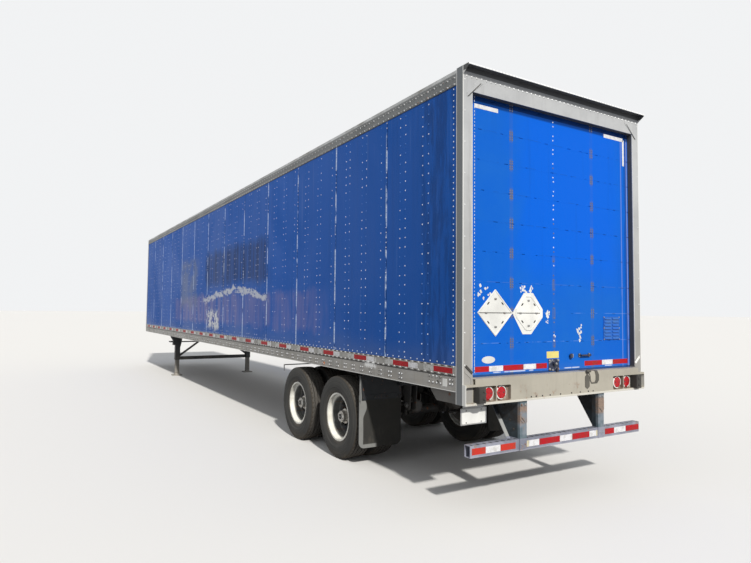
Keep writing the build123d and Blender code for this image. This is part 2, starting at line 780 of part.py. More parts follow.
def door_seams():
    """Heights of the panels' lower edges, up to the last below the header's inside."""
    return steps(DOOR_BOTTOM, HEADER_BOTTOM + DOOR_TUCK - DOOR_GAP, DOOR_PANEL_H)


def roll_up_door():
    """Panels with eased edges, one over the other, and a rubber seal under the lowest."""
    near, far, c = DOOR_BACK_X, DOOR_BACK_X + DOOR_T, DOOR_CHAMFER
    y = (-DOOR_HALF_W, DOOR_HALF_W)
    top = HEADER_BOTTOM + DOOR_TUCK
    panels = []
    for low in door_seams():
        high = min(low + DOOR_PANEL_H - DOOR_GAP, top)
        outline = [(near + c, low), (far, low), (far, high), (near + c, high), (near, high - c), (near, low + c)]
        panels.append(along_y(outline, y))
    seal = block((near + c, near + SEAL_T), y, (SILL_TOP, DOOR_BOTTOM))
    panels[0] += seal
    return panels


def door_hinges():
    """Hinge leaves and knuckles across each seam, on the inner face."""
    back = DOOR_BACK_X + DOOR_T
    hinges = []
    for low in door_seams()[1:]:
        seam = low - DOOR_GAP / 2
        for y in HINGE_COLUMNS:
            across = (y - HINGE_W / 2, y + HINGE_W / 2)
            leaf = block((back, back + HINGE_T), across, (seam - HINGE_H / 2, seam + HINGE_H / 2))
            axis_x = back + 2 * HINGE_T
            hinges.append(leaf + rod((axis_x, across[0], seam), (axis_x, across[1], seam), 1.5 * HINGE_T))
    return hinges


def placard_holders():
    """Diamond frames for hazard placards, blank, the second with clipped corners."""
    z = DOOR_BOTTOM + PLACARD_RISE
    plates = []
    for y, half, clip in PLACARDS:
        outline = [
            (y - clip, z - half + clip), (y + clip, z - half + clip), (y + half - clip, z - clip),
            (y + half - clip, z + clip), (y + clip, z + half - clip), (y - clip, z + half - clip),
            (y - half + clip, z + clip), (y - half + clip, z - clip),
        ]
        plates.append(along_x(outline, (DOOR_BACK_X - PLACARD_T, DOOR_BACK_X)))
    return plates


def vent():
    """Pressed plate with two columns of louvres."""
    face = DOOR_BACK_X
    z0 = DOOR_BOTTOM + VENT_RISE - VENT_H / 2
    plate = block((face - VENT_T, face), (VENT_Y - VENT_W / 2, VENT_Y + VENT_W / 2), (z0, z0 + VENT_H))
    pitch = VENT_H / VENT_SLATS
    for i in range(VENT_SLATS):
        z = z0 + (i + 0.2) * pitch
        front = face - VENT_T
        slat = [(front, z), (front - SLAT_PROUD, z), (front, z + 0.62 * pitch)]
        for y in (VENT_Y - VENT_W / 4, VENT_Y + VENT_W / 4):
            plate += along_y(slat, (y - SLAT_W / 2, y + SLAT_W / 2))
    return plate


def lock():
    """Base plate with a pivoted lever and its hook over the sill."""
    face = DOOR_BACK_X
    z0 = DOOR_BOTTOM
    plate = block((face - LOCK_T, face), (LOCK_Y - LOCK_W / 2, LOCK_Y + LOCK_W / 2), (z0, z0 + LOCK_H))
    pivot_z = z0 + 0.6 * LOCK_H
    front = face - LOCK_T
    pivot = rod((front, LOCK_Y, pivot_z), (front - LOCK_STAND_OFF, LOCK_Y, pivot_z), LOCK_PIVOT_R)
    tip_y = LOCK_Y + 0.42 * LOCK_W
    ends = [(LOCK_Y, pivot_z, LOCK_PIVOT_R), (tip_y, z0 + 0.2 * LOCK_H, 0.4 * LOCK_PIVOT_R)]
    edges = [edge for y, z, r in ends for edge in (Pos(y, z) * Circle(r)).edges()]
    lever = extrude(Plane.YZ.offset(front - LOCK_STAND_OFF) * make_hull(edges), amount=LOCK_LEVER_T)
    hook_y = LOCK_Y - 0.3 * LOCK_W
    hook = block((front - LOCK_LEVER_T, front), (hook_y - 14, hook_y + 14), (SILL_TOP, z0 + 0.8 * LOCK_H))
    return plate + pivot + lever + hook


def pull_handle():
    """Bowed bar on two feet."""
    face, z, r = DOOR_BACK_X, DOOR_BOTTOM + HANDLE_RISE, HANDLE_BAR
    low, high = HANDLE_Y
    front = face - HANDLE_STAND_OFF
    bar = rod((front, low, z), (front, high, z), r)
    for y in (low, high):
        inward = 0.8 * r if y == low else -0.8 * r
        bar += rod((front, y + inward, z), (face, y + inward, z), r)
        bar += block((face - LOCK_T, face), (y - 2 * r, y + 2 * r), (z - 2 * r, z + 2 * r))
    return bar


def door_fittings():
    """Louvred vent, lock, knob and pull handle."""
    z = DOOR_BOTTOM + HANDLE_RISE
    stem = rod((DOOR_BACK_X, KNOB_Y, z), (DOOR_BACK_X - HANDLE_STAND_OFF, KNOB_Y, z), 0.5 * KNOB_R)
    head = rod((DOOR_BACK_X - HANDLE_STAND_OFF, KNOB_Y, z), (DOOR_BACK_X - 0.5 * HANDLE_STAND_OFF, KNOB_Y, z), KNOB_R)
    return [vent(), lock(), stem + head, pull_handle()]


def pull_strap():
    """Knotted strap with a pointed tail and a twisted loop down the sill's face."""
    face, top, t = -SILL_PROUD, SILL_TOP, STRAP_T
    low, high = STRAP_TAIL_Y
    middle, neck, tip = (low + high) / 2, STRAP_EDGE, STRAP_TAIL_END
    tail = along_x([
        (middle, tip), (high, tip + 24), (high, top - 58), (middle + neck, top - 32), (middle + neck, top),
        (middle - neck, top), (middle - neck, top - 32), (low, top - 58), (low, tip + 24),
    ], (face - t, face))
    far, near = STRAP_LOOP_Y
    foot, edge, leg = STRAP_LOOP_END, STRAP_EDGE, far + STRAP_LEG
    outer = [
        (middle, top), (near, top - 45), (near - 4, foot + 30), (near - 26, foot), (far + 30, foot),
        (far, foot + 32), (far, top - 40), (far + 26, top),
    ]
    inner = [
        (leg + 18, top), (leg, top - 45), (leg, foot + 38), (leg + 18, foot + edge), (near - 34, foot + edge),
        (near - edge - 4, foot + 36), (near - edge, top - 50), (middle - 2 * neck, top - 6),
    ]
    loop = along_x(outer + inner, (face - t, face))
    x = (face - t, DOOR_BACK_X)
    over = block(x, (middle - neck, middle + neck), (top, top + t)) + block(x, (far + 26, leg + 18), (top, top + t))
    knot_x, knot_z = face - STRAP_KNOT_R - t + 1, top + t - 1
    knot = rod((knot_x, low + 6, knot_z), (knot_x, high - 6, knot_z), STRAP_KNOT_R)
    return tail + loop + over + knot


def underride_frame():
    """Two posts down from the sill: face plate, tapered outer web with its lip, inner return."""
    half, t, rear = GUARD_POST_W / 2, GUARD_PLATE_T, GUARD_REAR_X
    behind = rear + t
    tube_top = GUARD_TUBE_BOTTOM + GUARD_TUBE_H
    tube_middle = GUARD_TUBE_BOTTOM + GUARD_TUBE_H / 2
    tube_front = behind + GUARD_TUBE_D
    face = block((rear, behind), (-half, half), (GUARD_TUBE_BOTTOM, SILL_BOTTOM))
    web_outline = [
        (behind, tube_top), (tube_front, tube_top), (tube_front, tube_middle), (GUARD_WEB_FOOT, tube_middle),
        (GUARD_WEB_TOP, SILL_BOTTOM), (GUARD_WEB_TOP, SLIDE_RAIL_BOTTOM), (SLIDE_RAIL_X[0], SLIDE_RAIL_BOTTOM),
        (SLIDE_RAIL_X[0], SILL_BOTTOM), (behind, SILL_BOTTOM),
    ]
    web = along_y(web_outline, (half - t, half))
    lip_outline = [
        (GUARD_WEB_FOOT - t, tube_middle), (GUARD_WEB_FOOT, tube_middle),
        (GUARD_WEB_TOP, SILL_BOTTOM), (GUARD_WEB_TOP - t, SILL_BOTTOM),
    ]
    lip = along_y(lip_outline, (half, half + GUARD_LIP_W))
    inner = block((behind, behind + GUARD_RETURN), (-half, t - half), (tube_top, SILL_BOTTOM))
    cover_outline = [
        (-half, SILL_BOTTOM), (-half, GUARD_COVER_BOTTOM), (half - GUARD_COVER_CLIP, GUARD_COVER_BOTTOM),
        (half, GUARD_COVER_BOTTOM + GUARD_COVER_CLIP), (half, SILL_BOTTOM),
    ]
    cover = along_x(cover_outline, (rear - GUARD_COVER_T, rear))
    return both_sides(Pos(0, GUARD_POST_Y, 0) * (face + web + lip + inner + cover))


def underride_tube():
    """Open-ended tube with slotted holes along its top."""
    x0 = GUARD_REAR_X + GUARD_PLATE_T
    z0, z1, t = GUARD_TUBE_BOTTOM, GUARD_TUBE_BOTTOM + GUARD_TUBE_H, GUARD_TUBE_T
    half = GUARD_HALF_W
    tube = block((x0, x0 + GUARD_TUBE_D), (-half, half), (z0, z1))
    tube -= block((x0 + t, x0 + GUARD_TUBE_D - t), (-half, half), (z0 + t, z1 - t))
    edge = GUARD_POST_Y + GUARD_POST_W
    places = [y for y in steps(-half + GUARD_SLOT_PITCH, half - GUARD_SLOT_PITCH, GUARD_SLOT_PITCH)
              if abs(abs(y) - GUARD_POST_Y) > edge - GUARD_POST_Y]
    x = x0 + GUARD_TUBE_D / 2
    tube -= [rod((x, y, z1 - 2 * t), (x, y, z1), GUARD_SLOT_R) for y in places]
    return tube


def plate_bracket():
    """Blank licence plate on a flat hanger under the sill."""
    y = (PLATE_Y - PLATE_W / 2, PLATE_Y + PLATE_W / 2)
    high = SILL_BOTTOM - PLATE_DROP
    low = high - PLATE_H
    front = PLATE_X + PLATE_T
    inset = PLATE_HANGER_INSET
    plate = block((PLATE_X, front), y, (low, high))
    return plate + block((front, front + PLATE_HANGER_T), (y[0] + inset, y[1] - inset), (low + inset, SILL_BOTTOM))


def rear_skirts():
    low = CROSS_BOTTOM - SKIRT_H
    outline = [
        (SKIRT_X[0], low), (SKIRT_X[1] - SKIRT_CUT, low), (SKIRT_X[1], low + SKIRT_CUT),
        (SKIRT_X[1], CROSS_BOTTOM), (SKIRT_X[0], CROSS_BOTTOM),
    ]
    return both_sides(along_y(outline, (SKIRT_Y, SKIRT_Y + SKIRT_T)))


def slide_rails():
    """Angles under the cross-members, holed for the slider's lock pins."""
    outer, t = SLIDE_RAIL_Y, SLIDE_RAIL_T
    top, low = CROSS_BOTTOM, SLIDE_RAIL_BOTTOM
    outline = [
        (outer, low), (outer, top), (outer - t, top), (outer - t, low + t),
        (outer - SLIDE_FLANGE, low + t), (outer - SLIDE_FLANGE, low),
    ]
    rail = along_x(outline, SLIDE_RAIL_X)
    middle = (top + low) / 2
    places = steps(SLIDE_HOLES[0], SLIDE_HOLES[1], SLIDE_HOLE_PITCH)
    rail -= [rod((x, outer - 2 * t, middle), (x, outer + t, middle), SLIDE_HOLE_R) for x in places]
    return both_sides(rail)


def cam_centre(axle_x, direction):
    """Where a round cam just clears the top leaf, near its end."""
    reach = SPRING_R - CAM_R - RUNNING_GAP
    angle = direction * (LEAF_HALF - CAM_FROM_END) / SPRING_R
    return axle_x + reach * sin(angle), SPRING_CENTRE_Z - reach * cos(angle)


def hanger_places():
    """Rear, middle and front hanger, from the axles that they serve."""
    return (AXLE_X[1] - HANGER_OFFSET, TANDEM_X, AXLE_X[0] + HANGER_OFFSET)


def spring_hanger(x):
    """Two flared cheeks under a pad, with the cam or equalizer pin and the rod's pin."""
    half, low, t = HANGER_HALF_L, BOGIE_RAIL_BOTTOM, HANGER_PLATE_T
    y0, y1 = SPRING_Y - LEAF_W / 2 - HANGER_GAP, SPRING_Y + LEAF_W / 2 + HANGER_GAP
    with BuildSketch(side_plane(0)) as cheek:
        with BuildLine():
            Line((x - HANGER_FLARE * half, low), (x - half, HANGER_BOTTOM + half / 2))
            ThreePointArc((x - half, HANGER_BOTTOM + half / 2), (x, HANGER_BOTTOM), (x + half, HANGER_BOTTOM + half / 2))
            Line((x + half, HANGER_BOTTOM + half / 2), (x + HANGER_FLARE * half, low))
            Line((x + HANGER_FLARE * half, low), (x - HANGER_FLARE * half, low))
        make_face()
    plate = extrude(cheek.sketch, amount=t)
    hanger = Pos(0, y0, 0) * plate + Pos(0, y1 + t, 0) * plate
    hanger += block((x - half, x + half), (y0 - t, y1 + t), (low - HANGER_PAD, low))
    if x == TANDEM_X:
        hanger += rod((x, y0, EQUALIZER_Z), (x, y1, EQUALIZER_Z), EQUALIZER_PIN_R)
    else:
        cam_x, cam_z = cam_centre(AXLE_X[1], -1) if x < TANDEM_X else cam_centre(AXLE_X[0], 1)
        hanger += rod((cam_x, y0, cam_z), (cam_x, y1, cam_z), CAM_R)
    if x > AXLE_X[1]:
        hanger += rod((x, y0, ROD_EYE_Z), (x, y1, ROD_EYE_Z), ROD_PIN_R)
    return hanger


def bogie_frame():
    """Slider box: side rails whose lips ride on the slide rails, ties and spring hangers."""
    outer, top, low = BOGIE_RAIL_OUTER, BOGIE_RAIL_TOP, BOGIE_RAIL_BOTTOM
    inner, t = outer - BOGIE_RAIL_W, BOGIE_RAIL_T
    ride = SLIDE_RAIL_BOTTOM + SLIDE_RAIL_T + SLIDE_CLEAR
    lip = SLIDE_RAIL_Y - SLIDE_RAIL_T - BOGIE_LIP_GAP
    outline = [
        (inner, low), (outer, low), (outer, ride), (lip, ride), (lip, ride + t), (outer, ride + t),
        (outer, top), (inner, top), (inner, top - t), (outer - t, top - t), (outer - t, low + t),
        (inner, low + t),
    ]
    rail = along_x(outline, BOGIE_X)
    for x in lock_pin_places():
        z = lock_pin_height()
        rail -= rod((x, inner, z), (x, lip, z), LOCK_PIN_R + RUNNING_GAP)
    rail -= rod((PULL_HANDLE_X, inner, PULL_HANDLE_Z), (PULL_HANDLE_X, outer, PULL_HANDLE_Z), PULL_ROD_R + RUNNING_GAP)
    frame = rail + opposite(rail)
    half, high = BOGIE_CROSS_W / 2, low + BOGIE_CROSS_H
    for x in BOGIE_CROSS_X:
        channel = [
            (x - half, low), (x + half, low), (x + half, high), (x - half, high),
            (x - half, high - t), (x + half - t, high - t), (x + half - t, low + t), (x - half, low + t),
        ]
        frame += along_y(channel, (t - outer, outer - t))
    for x in hanger_places():
        frame += both_sides(spring_hanger(x))
    return frame


def lock_pin_places():
    return [SLIDE_HOLES[0] + SLIDE_HOLE_PITCH * hole for hole in LOCK_PIN_HOLES]


def lock_pin_height():
    return (CROSS_BOTTOM + SLIDE_RAIL_BOTTOM) / 2


def lock_pins():
    """Pins in the bogie rails, joined by a rod on each side, with the pull handle's rod."""
    z, tail = lock_pin_height(), LOCK_PIN_TAIL_Y
    nose = SLIDE_RAIL_Y - SLIDE_RAIL_T - LOCK_PIN_BACK
    places = lock_pin_places()
    gang = rod((places[0], tail, z), (places[-1], tail, z), PULL_ROD_R)
    for x in places:
        gang += rod((x, tail - LOCK_PIN_R, z), (x, nose, z), LOCK_PIN_R)
    link_rod = rod((PULL_HANDLE_X, tail, z), (PULL_HANDLE_X, tail, PULL_HANDLE_Z), PULL_ROD_R)
    reach = rod((places[-1], tail, z), (PULL_HANDLE_X, tail, z), PULL_ROD_R)
    handle = rod((PULL_HANDLE_X, tail, PULL_HANDLE_Z), (PULL_HANDLE_X, PULL_HANDLE_Y, PULL_HANDLE_Z), PULL_ROD_R)
    grip = rod((PULL_HANDLE_X, PULL_HANDLE_Y, PULL_HANDLE_Z), (PULL_HANDLE_X, PULL_HANDLE_Y, PULL_HANDLE_Z - 90), PULL_ROD_R)
    return [gang + reach + link_rod + handle + grip, opposite(gang)]


def equalizers():
    """Rockers on the middle hangers, bearing on both springs' ends."""
    y = (SPRING_Y - LEAF_W / 2, SPRING_Y + LEAF_W / 2)
    rear, front = cam_centre(AXLE_X[1], 1), cam_centre(AXLE_X[0], -1)
    boss = (TANDEM_X, EQUALIZER_Z, EQUALIZER_BOSS_R)
    rocker = link([boss, (*rear, CAM_R)], y) + link([boss, (*front, CAM_R)], y)
    rocker -= rod((TANDEM_X, y[0], EQUALIZER_Z), (TANDEM_X, y[1], EQUALIZER_Z), EQUALIZER_PIN_R + RUNNING_GAP)
    return both_sides(rocker)


def leaf_pack(x):
    """Leaves curved up to their ends, each shorter than the one above, on the axle seat."""
    y0, y1 = SPRING_Y - LEAF_W / 2, SPRING_Y + LEAF_W / 2
    pack = []
    for i in range(LEAF_COUNT):
        half = LEAF_HALF - i * LEAF_STEP
        inner = SPRING_R + i * LEAF_T
        outer = inner + LEAF_T
        ring = turned([(y0, inner), (y1, inner), (y1, outer), (y0, outer)])
        kept = block((x - half, x + half), (y0, y1), (TYRE_R, SPRING_CENTRE_Z))
        pack.append((Pos(x, 0, SPRING_CENTRE_Z) * ring) & kept)
    return pack[0] + pack[1:]


def leaf_springs():
    pieces = []
    for x in AXLE_X:
        pieces += both_sides(leaf_pack(x))
    return pieces


def clamp_height():
    """The spring clamp's underside, clear of the leaves at its own ends."""
    return SPRING_CENTRE_Z - sqrt(SPRING_R ** 2 - CLAMP_HALF_L ** 2) + RUNNING_GAP


def u_bolt(x, y0, y1, foot, crown):
    """Bent rod from its foot on one side of the spring, over it, and down the other."""
    path = FilletPolyline((x, y0, foot), (x, y0, crown), (x, y1, crown), (x, y1, foot), radius=U_BOLT_BEND)
    return sweep(Plane(origin=(x, y0, foot), z_dir=(0, 0, 1)) * Circle(U_BOLT_R), path=path)


def spring_seat():
    """Seat, clamp plates and U-bolts that hold one spring, and the ears of its radius rod."""
    y0, y1 = SPRING_Y - LEAF_W / 2, SPRING_Y + LEAF_W / 2
    top = AXLE_TUBE_R + SEAT_H
    seat = along_y([(-CLAMP_HALF_L, top), (CLAMP_HALF_L, top), (60, 0), (-60, 0)], (y0, y1))
    reach = LEAF_W / 2 + U_BOLT_GAP + U_BOLT_R
    clamp_y = (SPRING_Y - reach - CLAMP_EDGE, SPRING_Y + reach + CLAMP_EDGE)
    low = -AXLE_TUBE_R - CLAMP_T / 2
    over = clamp_height() - TYRE_R
    plates = block((-CLAMP_HALF_L, CLAMP_HALF_L), clamp_y, (low - CLAMP_T / 2, low + CLAMP_T))
    plates += block((-CLAMP_HALF_L, CLAMP_HALF_L), clamp_y, (over, over + CLAMP_T))
    crown = over + CLAMP_T + 0.75 * U_BOLT_R
    foot = low - 2 * CLAMP_T
    bolts = [u_bolt(x, SPRING_Y - reach, SPRING_Y + reach, foot, crown) for x in (-U_BOLT_X, U_BOLT_X)]
    eye = (ROD_SEAT_X, ROD_SEAT_Z - TYRE_R)
    half = ROD_EYE_W / 2
    ear_ends = [(0, 0, 0.7 * AXLE_TUBE_R), (*eye, ROD_EYE_R)]
    inner, outer = half + ROD_EYE_GAP, half + ROD_EYE_GAP + ROD_EAR_T
    ears = link(ear_ends, (SPRING_Y - outer, SPRING_Y - inner)) + link(ear_ends, (SPRING_Y + inner, SPRING_Y + outer))
    ears += rod((eye[0], SPRING_Y - outer, eye[1]), (eye[0], SPRING_Y + outer, eye[1]), ROD_PIN_R)
    return seat + plates + bolts + ears


def axle(x):
    """Tube with turned-down spindles, spring seats and the brakes' dust shields."""
    taper = SPINDLE_START_Y + SPINDLE_TAPER
    tube = turned([
        (-SPINDLE_END_Y, 0), (SPINDLE_END_Y, 0), (SPINDLE_END_Y, SPINDLE_R), (taper, SPINDLE_R),
        (SPINDLE_START_Y, AXLE_TUBE_R), (-SPINDLE_START_Y, AXLE_TUBE_R),
        (-taper, SPINDLE_R), (-SPINDLE_END_Y, SPINDLE_R),
    ])
    shield = turned([
        (SHIELD_Y[0], 0), (SHIELD_Y[1], 0), (SHIELD_Y[1], SHIELD_R), (SHIELD_Y[0], SHIELD_R),
    ])
    seat = spring_seat()
    seats = [seat, Pos(0, -2 * SPRING_Y, 0) * seat]
    return Pos(x, 0, TYRE_R) * (tube + both_sides(shield) + seats)


def radius_rods():
    """Rods that hold each axle fore and aft, from a hanger's foot to the spring seat."""
    y = (SPRING_Y - ROD_EYE_W / 2, SPRING_Y + ROD_EYE_W / 2)
    rods = []
    for axle_x, hanger_x in zip(AXLE_X, (hanger_places()[2], hanger_places()[1])):
        start = (axle_x + ROD_SEAT_X, ROD_SEAT_Z)
        end = (hanger_x, ROD_EYE_Z)
        arm = rod((start[0], SPRING_Y, start[1]), (end[0], SPRING_Y, end[1]), ROD_R)
        for place in (start, end):
            arm += rod((place[0], y[0], place[1]), (place[0], y[1], place[1]), ROD_EYE_R)
        for place in (start, end):
            arm -= rod((place[0], y[0], place[1]), (place[0], y[1], place[1]), ROD_PIN_R + RUNNING_GAP)
        rods += both_sides(arm)
    return rods


def brake_chamber():
    """Service and spring cans joined by a clamp ring, on two plates from the axle tube."""
    profile = [
        (0, 0), (0, CHAMBER_R - 12), (8, CHAMBER_R), (56, CHAMBER_R), (60, CHAMBER_BAND_R), (76, CHAMBER_BAND_R),
        (80, CHAMBER_R), (96, CHAMBER_R), (100, CHAMBER_BAND_R), (112, CHAMBER_BAND_R), (116, CHAMBER_SPRING_R),
        (196, CHAMBER_SPRING_R), (212, CHAMBER_SPRING_R - 26), (216, 0),
    ]
    can = Rot(0, 0, 90) * turned(profile)
    can = Pos(CHAMBER_X, CHAMBER_Y, CHAMBER_Z) * can
    outline = [
        (CHAMBER_X, CHAMBER_Z - 0.8 * CHAMBER_R), (CHAMBER_X, CHAMBER_Z + 0.4 * CHAMBER_R),
        (CHAMBER_X + 24, CHAMBER_Z + 0.4 * CHAMBER_R), (0, TYRE_R + 0.9 * AXLE_TUBE_R), (0, TYRE_R),
        (CAMSHAFT_X - 30, CAMSHAFT_Z - 34),
    ]
    for y in (CHAMBER_Y - BRACKET_Y, CHAMBER_Y + BRACKET_Y - BRACKET_T):
        plate = along_y(outline, (y, y + BRACKET_T))
        plate -= rod((CAMSHAFT_X, y, CAMSHAFT_Z), (CAMSHAFT_X, y + BRACKET_T, CAMSHAFT_Z), CAMSHAFT_R + RUNNING_GAP)
        plate -= rod((0, y, TYRE_R), (0, y + BRACKET_T, TYRE_R), AXLE_TUBE_R)
        can += plate
    return can


def brake_camshaft():
    """Camshaft to the drum, with its slack adjuster and the chamber's pushrod."""
    start_y = CHAMBER_Y - BRACKET_Y - 20
    shaft = rod((CAMSHAFT_X, start_y, CAMSHAFT_Z), (CAMSHAFT_X, SHIELD_Y[0], CAMSHAFT_Z), CAMSHAFT_R)
    y = (CHAMBER_Y - SLACK_T / 2, CHAMBER_Y + SLACK_T / 2)
    lever = link([(CAMSHAFT_X, CAMSHAFT_Z, SLACK_BOSS_R), (CAMSHAFT_X, CHAMBER_Z, SLACK_TIP_R)], y)
    push = rod((CHAMBER_X + RUNNING_GAP, CHAMBER_Y, CHAMBER_Z), (CAMSHAFT_X, CHAMBER_Y, CHAMBER_Z), PUSHROD_R)
    return shaft + lever + push


def at_each_axle(piece):
    pieces = []
    for x in AXLE_X:
        pieces += both_sides(Pos(x, 0, 0) * piece)
    return pieces


def air_tank():
    """Round-ended air reservoir on two saddles under the front tie of the tandem."""
    x, z = BOGIE_CROSS_X[-1], BOGIE_RAIL_BOTTOM - TANK_R - TANK_GAP
    tank = rod((x, -TANK_HALF_L, z), (x, TANK_HALF_L, z), TANK_R)
    tank = fillet(tank.edges().filter_by(GeomType.CIRCLE), TANK_ROUND)
    half = TANK_SADDLE_W / 2
    saddle = block((x - half, x + half), (TANK_SADDLE_Y - half, TANK_SADDLE_Y + half), (z, BOGIE_RAIL_BOTTOM))
    strap = rod((x, TANK_SADDLE_Y - half, z), (x, TANK_SADDLE_Y + half, z), TANK_R + 3)
    return tank + both_sides(saddle + strap)


def tyre():
    """One tyre about the Y axis, its middle at y = 0."""
    seat, half = RIM_HALF_W - RIM_T, TYRE_W / 2
    side = [
        (seat, BEAD_R), (seat, RIM_FLANGE_R + 2), (0.84 * half, BULGE_R - 76), (0.96 * half, BULGE_R - 44),
        (half, BULGE_R), (0.97 * half, BULGE_R + 48), (SHOULDER[0], SHOULDER[1]),
        (SHOULDER[0] - 4, SHOULDER[1] + 11), (TREAD_HALF_W, TYRE_R - TREAD_CROWN),
    ]
    return turned(side + [(0, TYRE_R)] + [(-y, r) for y, r in side[::-1]])


def rim():
    """Drop-centre rim with a dished disc, the disc's mounting face inboard."""
    seat, edge, t = RIM_HALF_W - RIM_T, RIM_HALF_W, RIM_T
    well, top = WELL_HALF_W, WELL_TOP_HALF_W
    slope_r = BEAD_R - 3
    outside = [(seat, RIM_FLANGE_R), (seat, BEAD_R), (top, slope_r), (well, WELL_R)]
    inside = [(edge, BEAD_R - t), (top, slope_r - t), (well, WELL_R - t)]
    profile = (
        [(-edge, BEAD_R - t), (-edge, RIM_FLANGE_R)] + [(-y, r) for y, r in outside]
        + outside[::-1] + [(edge, RIM_FLANGE_R)] + inside + [(-y, r) for y, r in inside[:0:-1]]
    )
    band = turned(profile)
    face, d = -DISC_OFFSET, DISC_T
    rim_r = WELL_R - t
    shoulder_y, shoulder_r = DISC_SHOULDER
    disc = turned([
        (face, HUB_PILOT_R), (face, DISC_FLAT_R), (-shoulder_y - 38, shoulder_r - 16),
        (-shoulder_y, shoulder_r), (-well, rim_r + 2), (-well + 1.4 * d, rim_r + 2),
        (-shoulder_y + 6, shoulder_r - 11), (-shoulder_y - 30, shoulder_r - 28), (face + d, DISC_FLAT_R - 8),
        (face + d, HUB_PILOT_R),
    ])
    holes = [rod((x, face, z), (x, 0, z), HAND_HOLE_R) for x, z in around(HAND_HOLES, HAND_HOLE_CIRCLE_R, 0.5)]
    bolt_r = STUD_R + STUD_CLEAR
    bores = [rod((x, face, z), (x, face + d, z), bolt_r) for x, z in around(WHEEL_STUDS, BOLT_CIRCLE_R)]
    return band + (disc - holes - bores)


def wheel_pair_rims():
    outer = Pos(0, PAIR_Y + DISC_OFFSET, 0) * rim()
    inner = Pos(0, PAIR_Y - DISC_OFFSET, 0) * mirror(rim(), about=Plane.XZ)
    return [outer, inner]


def wheel_pair_tyres():
    return [Pos(0, PAIR_Y + DISC_OFFSET, 0) * tyre(), Pos(0, PAIR_Y - DISC_OFFSET, 0) * tyre()]


def hub():
    """Hub, drum, studs and cap; the bore runs on the spindle."""
    bore = SPINDLE_R + RUNNING_GAP
    flange = PAIR_Y - DISC_T
    back = flange - HUB_FLANGE_T
    lip = PAIR_Y + HUB_BARREL_END
    cap = PAIR_Y + HUB_CAP_END
    end = SPINDLE_END_Y + 6
    body = turned([
        (HUB_INNER_Y, bore), (HUB_INNER_Y, 92), (back, 108), (back, HUB_FLANGE_R), (flange, HUB_FLANGE_R),
        (flange, HUB_PILOT_R), (PAIR_Y + DISC_T + 6, HUB_PILOT_R), (PAIR_Y + 40, HUB_BARREL_R + 10),
        (lip, HUB_BARREL_R), (lip, HUB_CAP_LIP_R), (lip + HUB_CAP_LIP_T, HUB_CAP_LIP_R),
        (lip + HUB_CAP_LIP_T, HUB_CAP_R), (cap - HUB_CAP_ROUND, HUB_CAP_R), (cap, HUB_CAP_R - HUB_CAP_ROUND),
        (cap, 0), (end, 0), (end, bore),
    ])
    drum = turned([
        (back, 100), (back, HUB_FLANGE_R), (back - 14, 178), (back - 70, DRUM_R), (DRUM_INNER_Y, DRUM_R),
        (DRUM_INNER_Y, DRUM_R - DRUM_T), (back - 76, DRUM_R - DRUM_T), (back - 26, 160), (back - 14, 100),
    ])
    hub_part = body + drum
    for x, z in around(WHEEL_STUDS, BOLT_CIRCLE_R):
        stud = rod((x, flange - 2, z), (x, PAIR_Y + DISC_T + STUD_END, z), STUD_R)
        plane = Plane(origin=(x, PAIR_Y + DISC_T, z), z_dir=(0, 1, 0))
        hub_part += stud + extrude(plane * RegularPolygon(NUT_R, 6), amount=NUT_H)
    return hub_part


def mud_flap():
    y0, y1, r = FLAP_INNER_Y, FLAP_OUTER_Y, FLAP_CORNER_R
    flap = block((FLAP_X, FLAP_X + FLAP_T), (y0, y1), (FLAP_BOTTOM, FLAP_TOP))
    return fillet(flap.edges().filter_by(Axis.X).group_by(Axis.Z)[0], r)


def flap_hanger():
    """Plate above the flap with a tapered outer edge, a bar on the flap and two arms."""
    y = (FLAP_INNER_Y, FLAP_OUTER_Y)
    near = FLAP_X - FLAP_PLATE_T
    plate = block((near, FLAP_X), y, (FLAP_TOP - FLAP_BAR_H, HANGER_PLATE_TOP))
    edge = [
        (FLAP_X, FLAP_TOP - FLAP_BAR_H), (FLAP_X, HANGER_PLATE_TOP), (FLAP_X - FLAP_EDGE_HIGH, HANGER_PLATE_TOP),
        (FLAP_X - FLAP_EDGE_LOW, FLAP_TOP), (FLAP_X - FLAP_EDGE_LOW, FLAP_TOP - FLAP_BAR_H),
    ]
    fold = along_y(edge, (FLAP_OUTER_Y - FLAP_PLATE_T, FLAP_OUTER_Y))
    bar = block((near - FLAP_PLATE_T, near), y, (FLAP_TOP - FLAP_BAR_H, FLAP_TOP))
    arm_z = (BOGIE_RAIL_BOTTOM, BOGIE_RAIL_BOTTOM + FLAP_ARM_H)
    arm = block((near - FLAP_ARM_H, near), (BOGIE_RAIL_OUTER, FLAP_INNER_Y + FLAP_ARM_H), arm_z)
    return plate + fold + bar + arm


def wing_outline(half, foot_z, foot_half):
    """Mounting plate: straight edge under the floor beams, tapered to the leg."""
    low = CROSS_BOTTOM - WING_EDGE_H
    return [(-half, CROSS_BOTTOM), (half, CROSS_BOTTOM), (half, low), (foot_half, foot_z), (-foot_half, foot_z), (-half, low)]


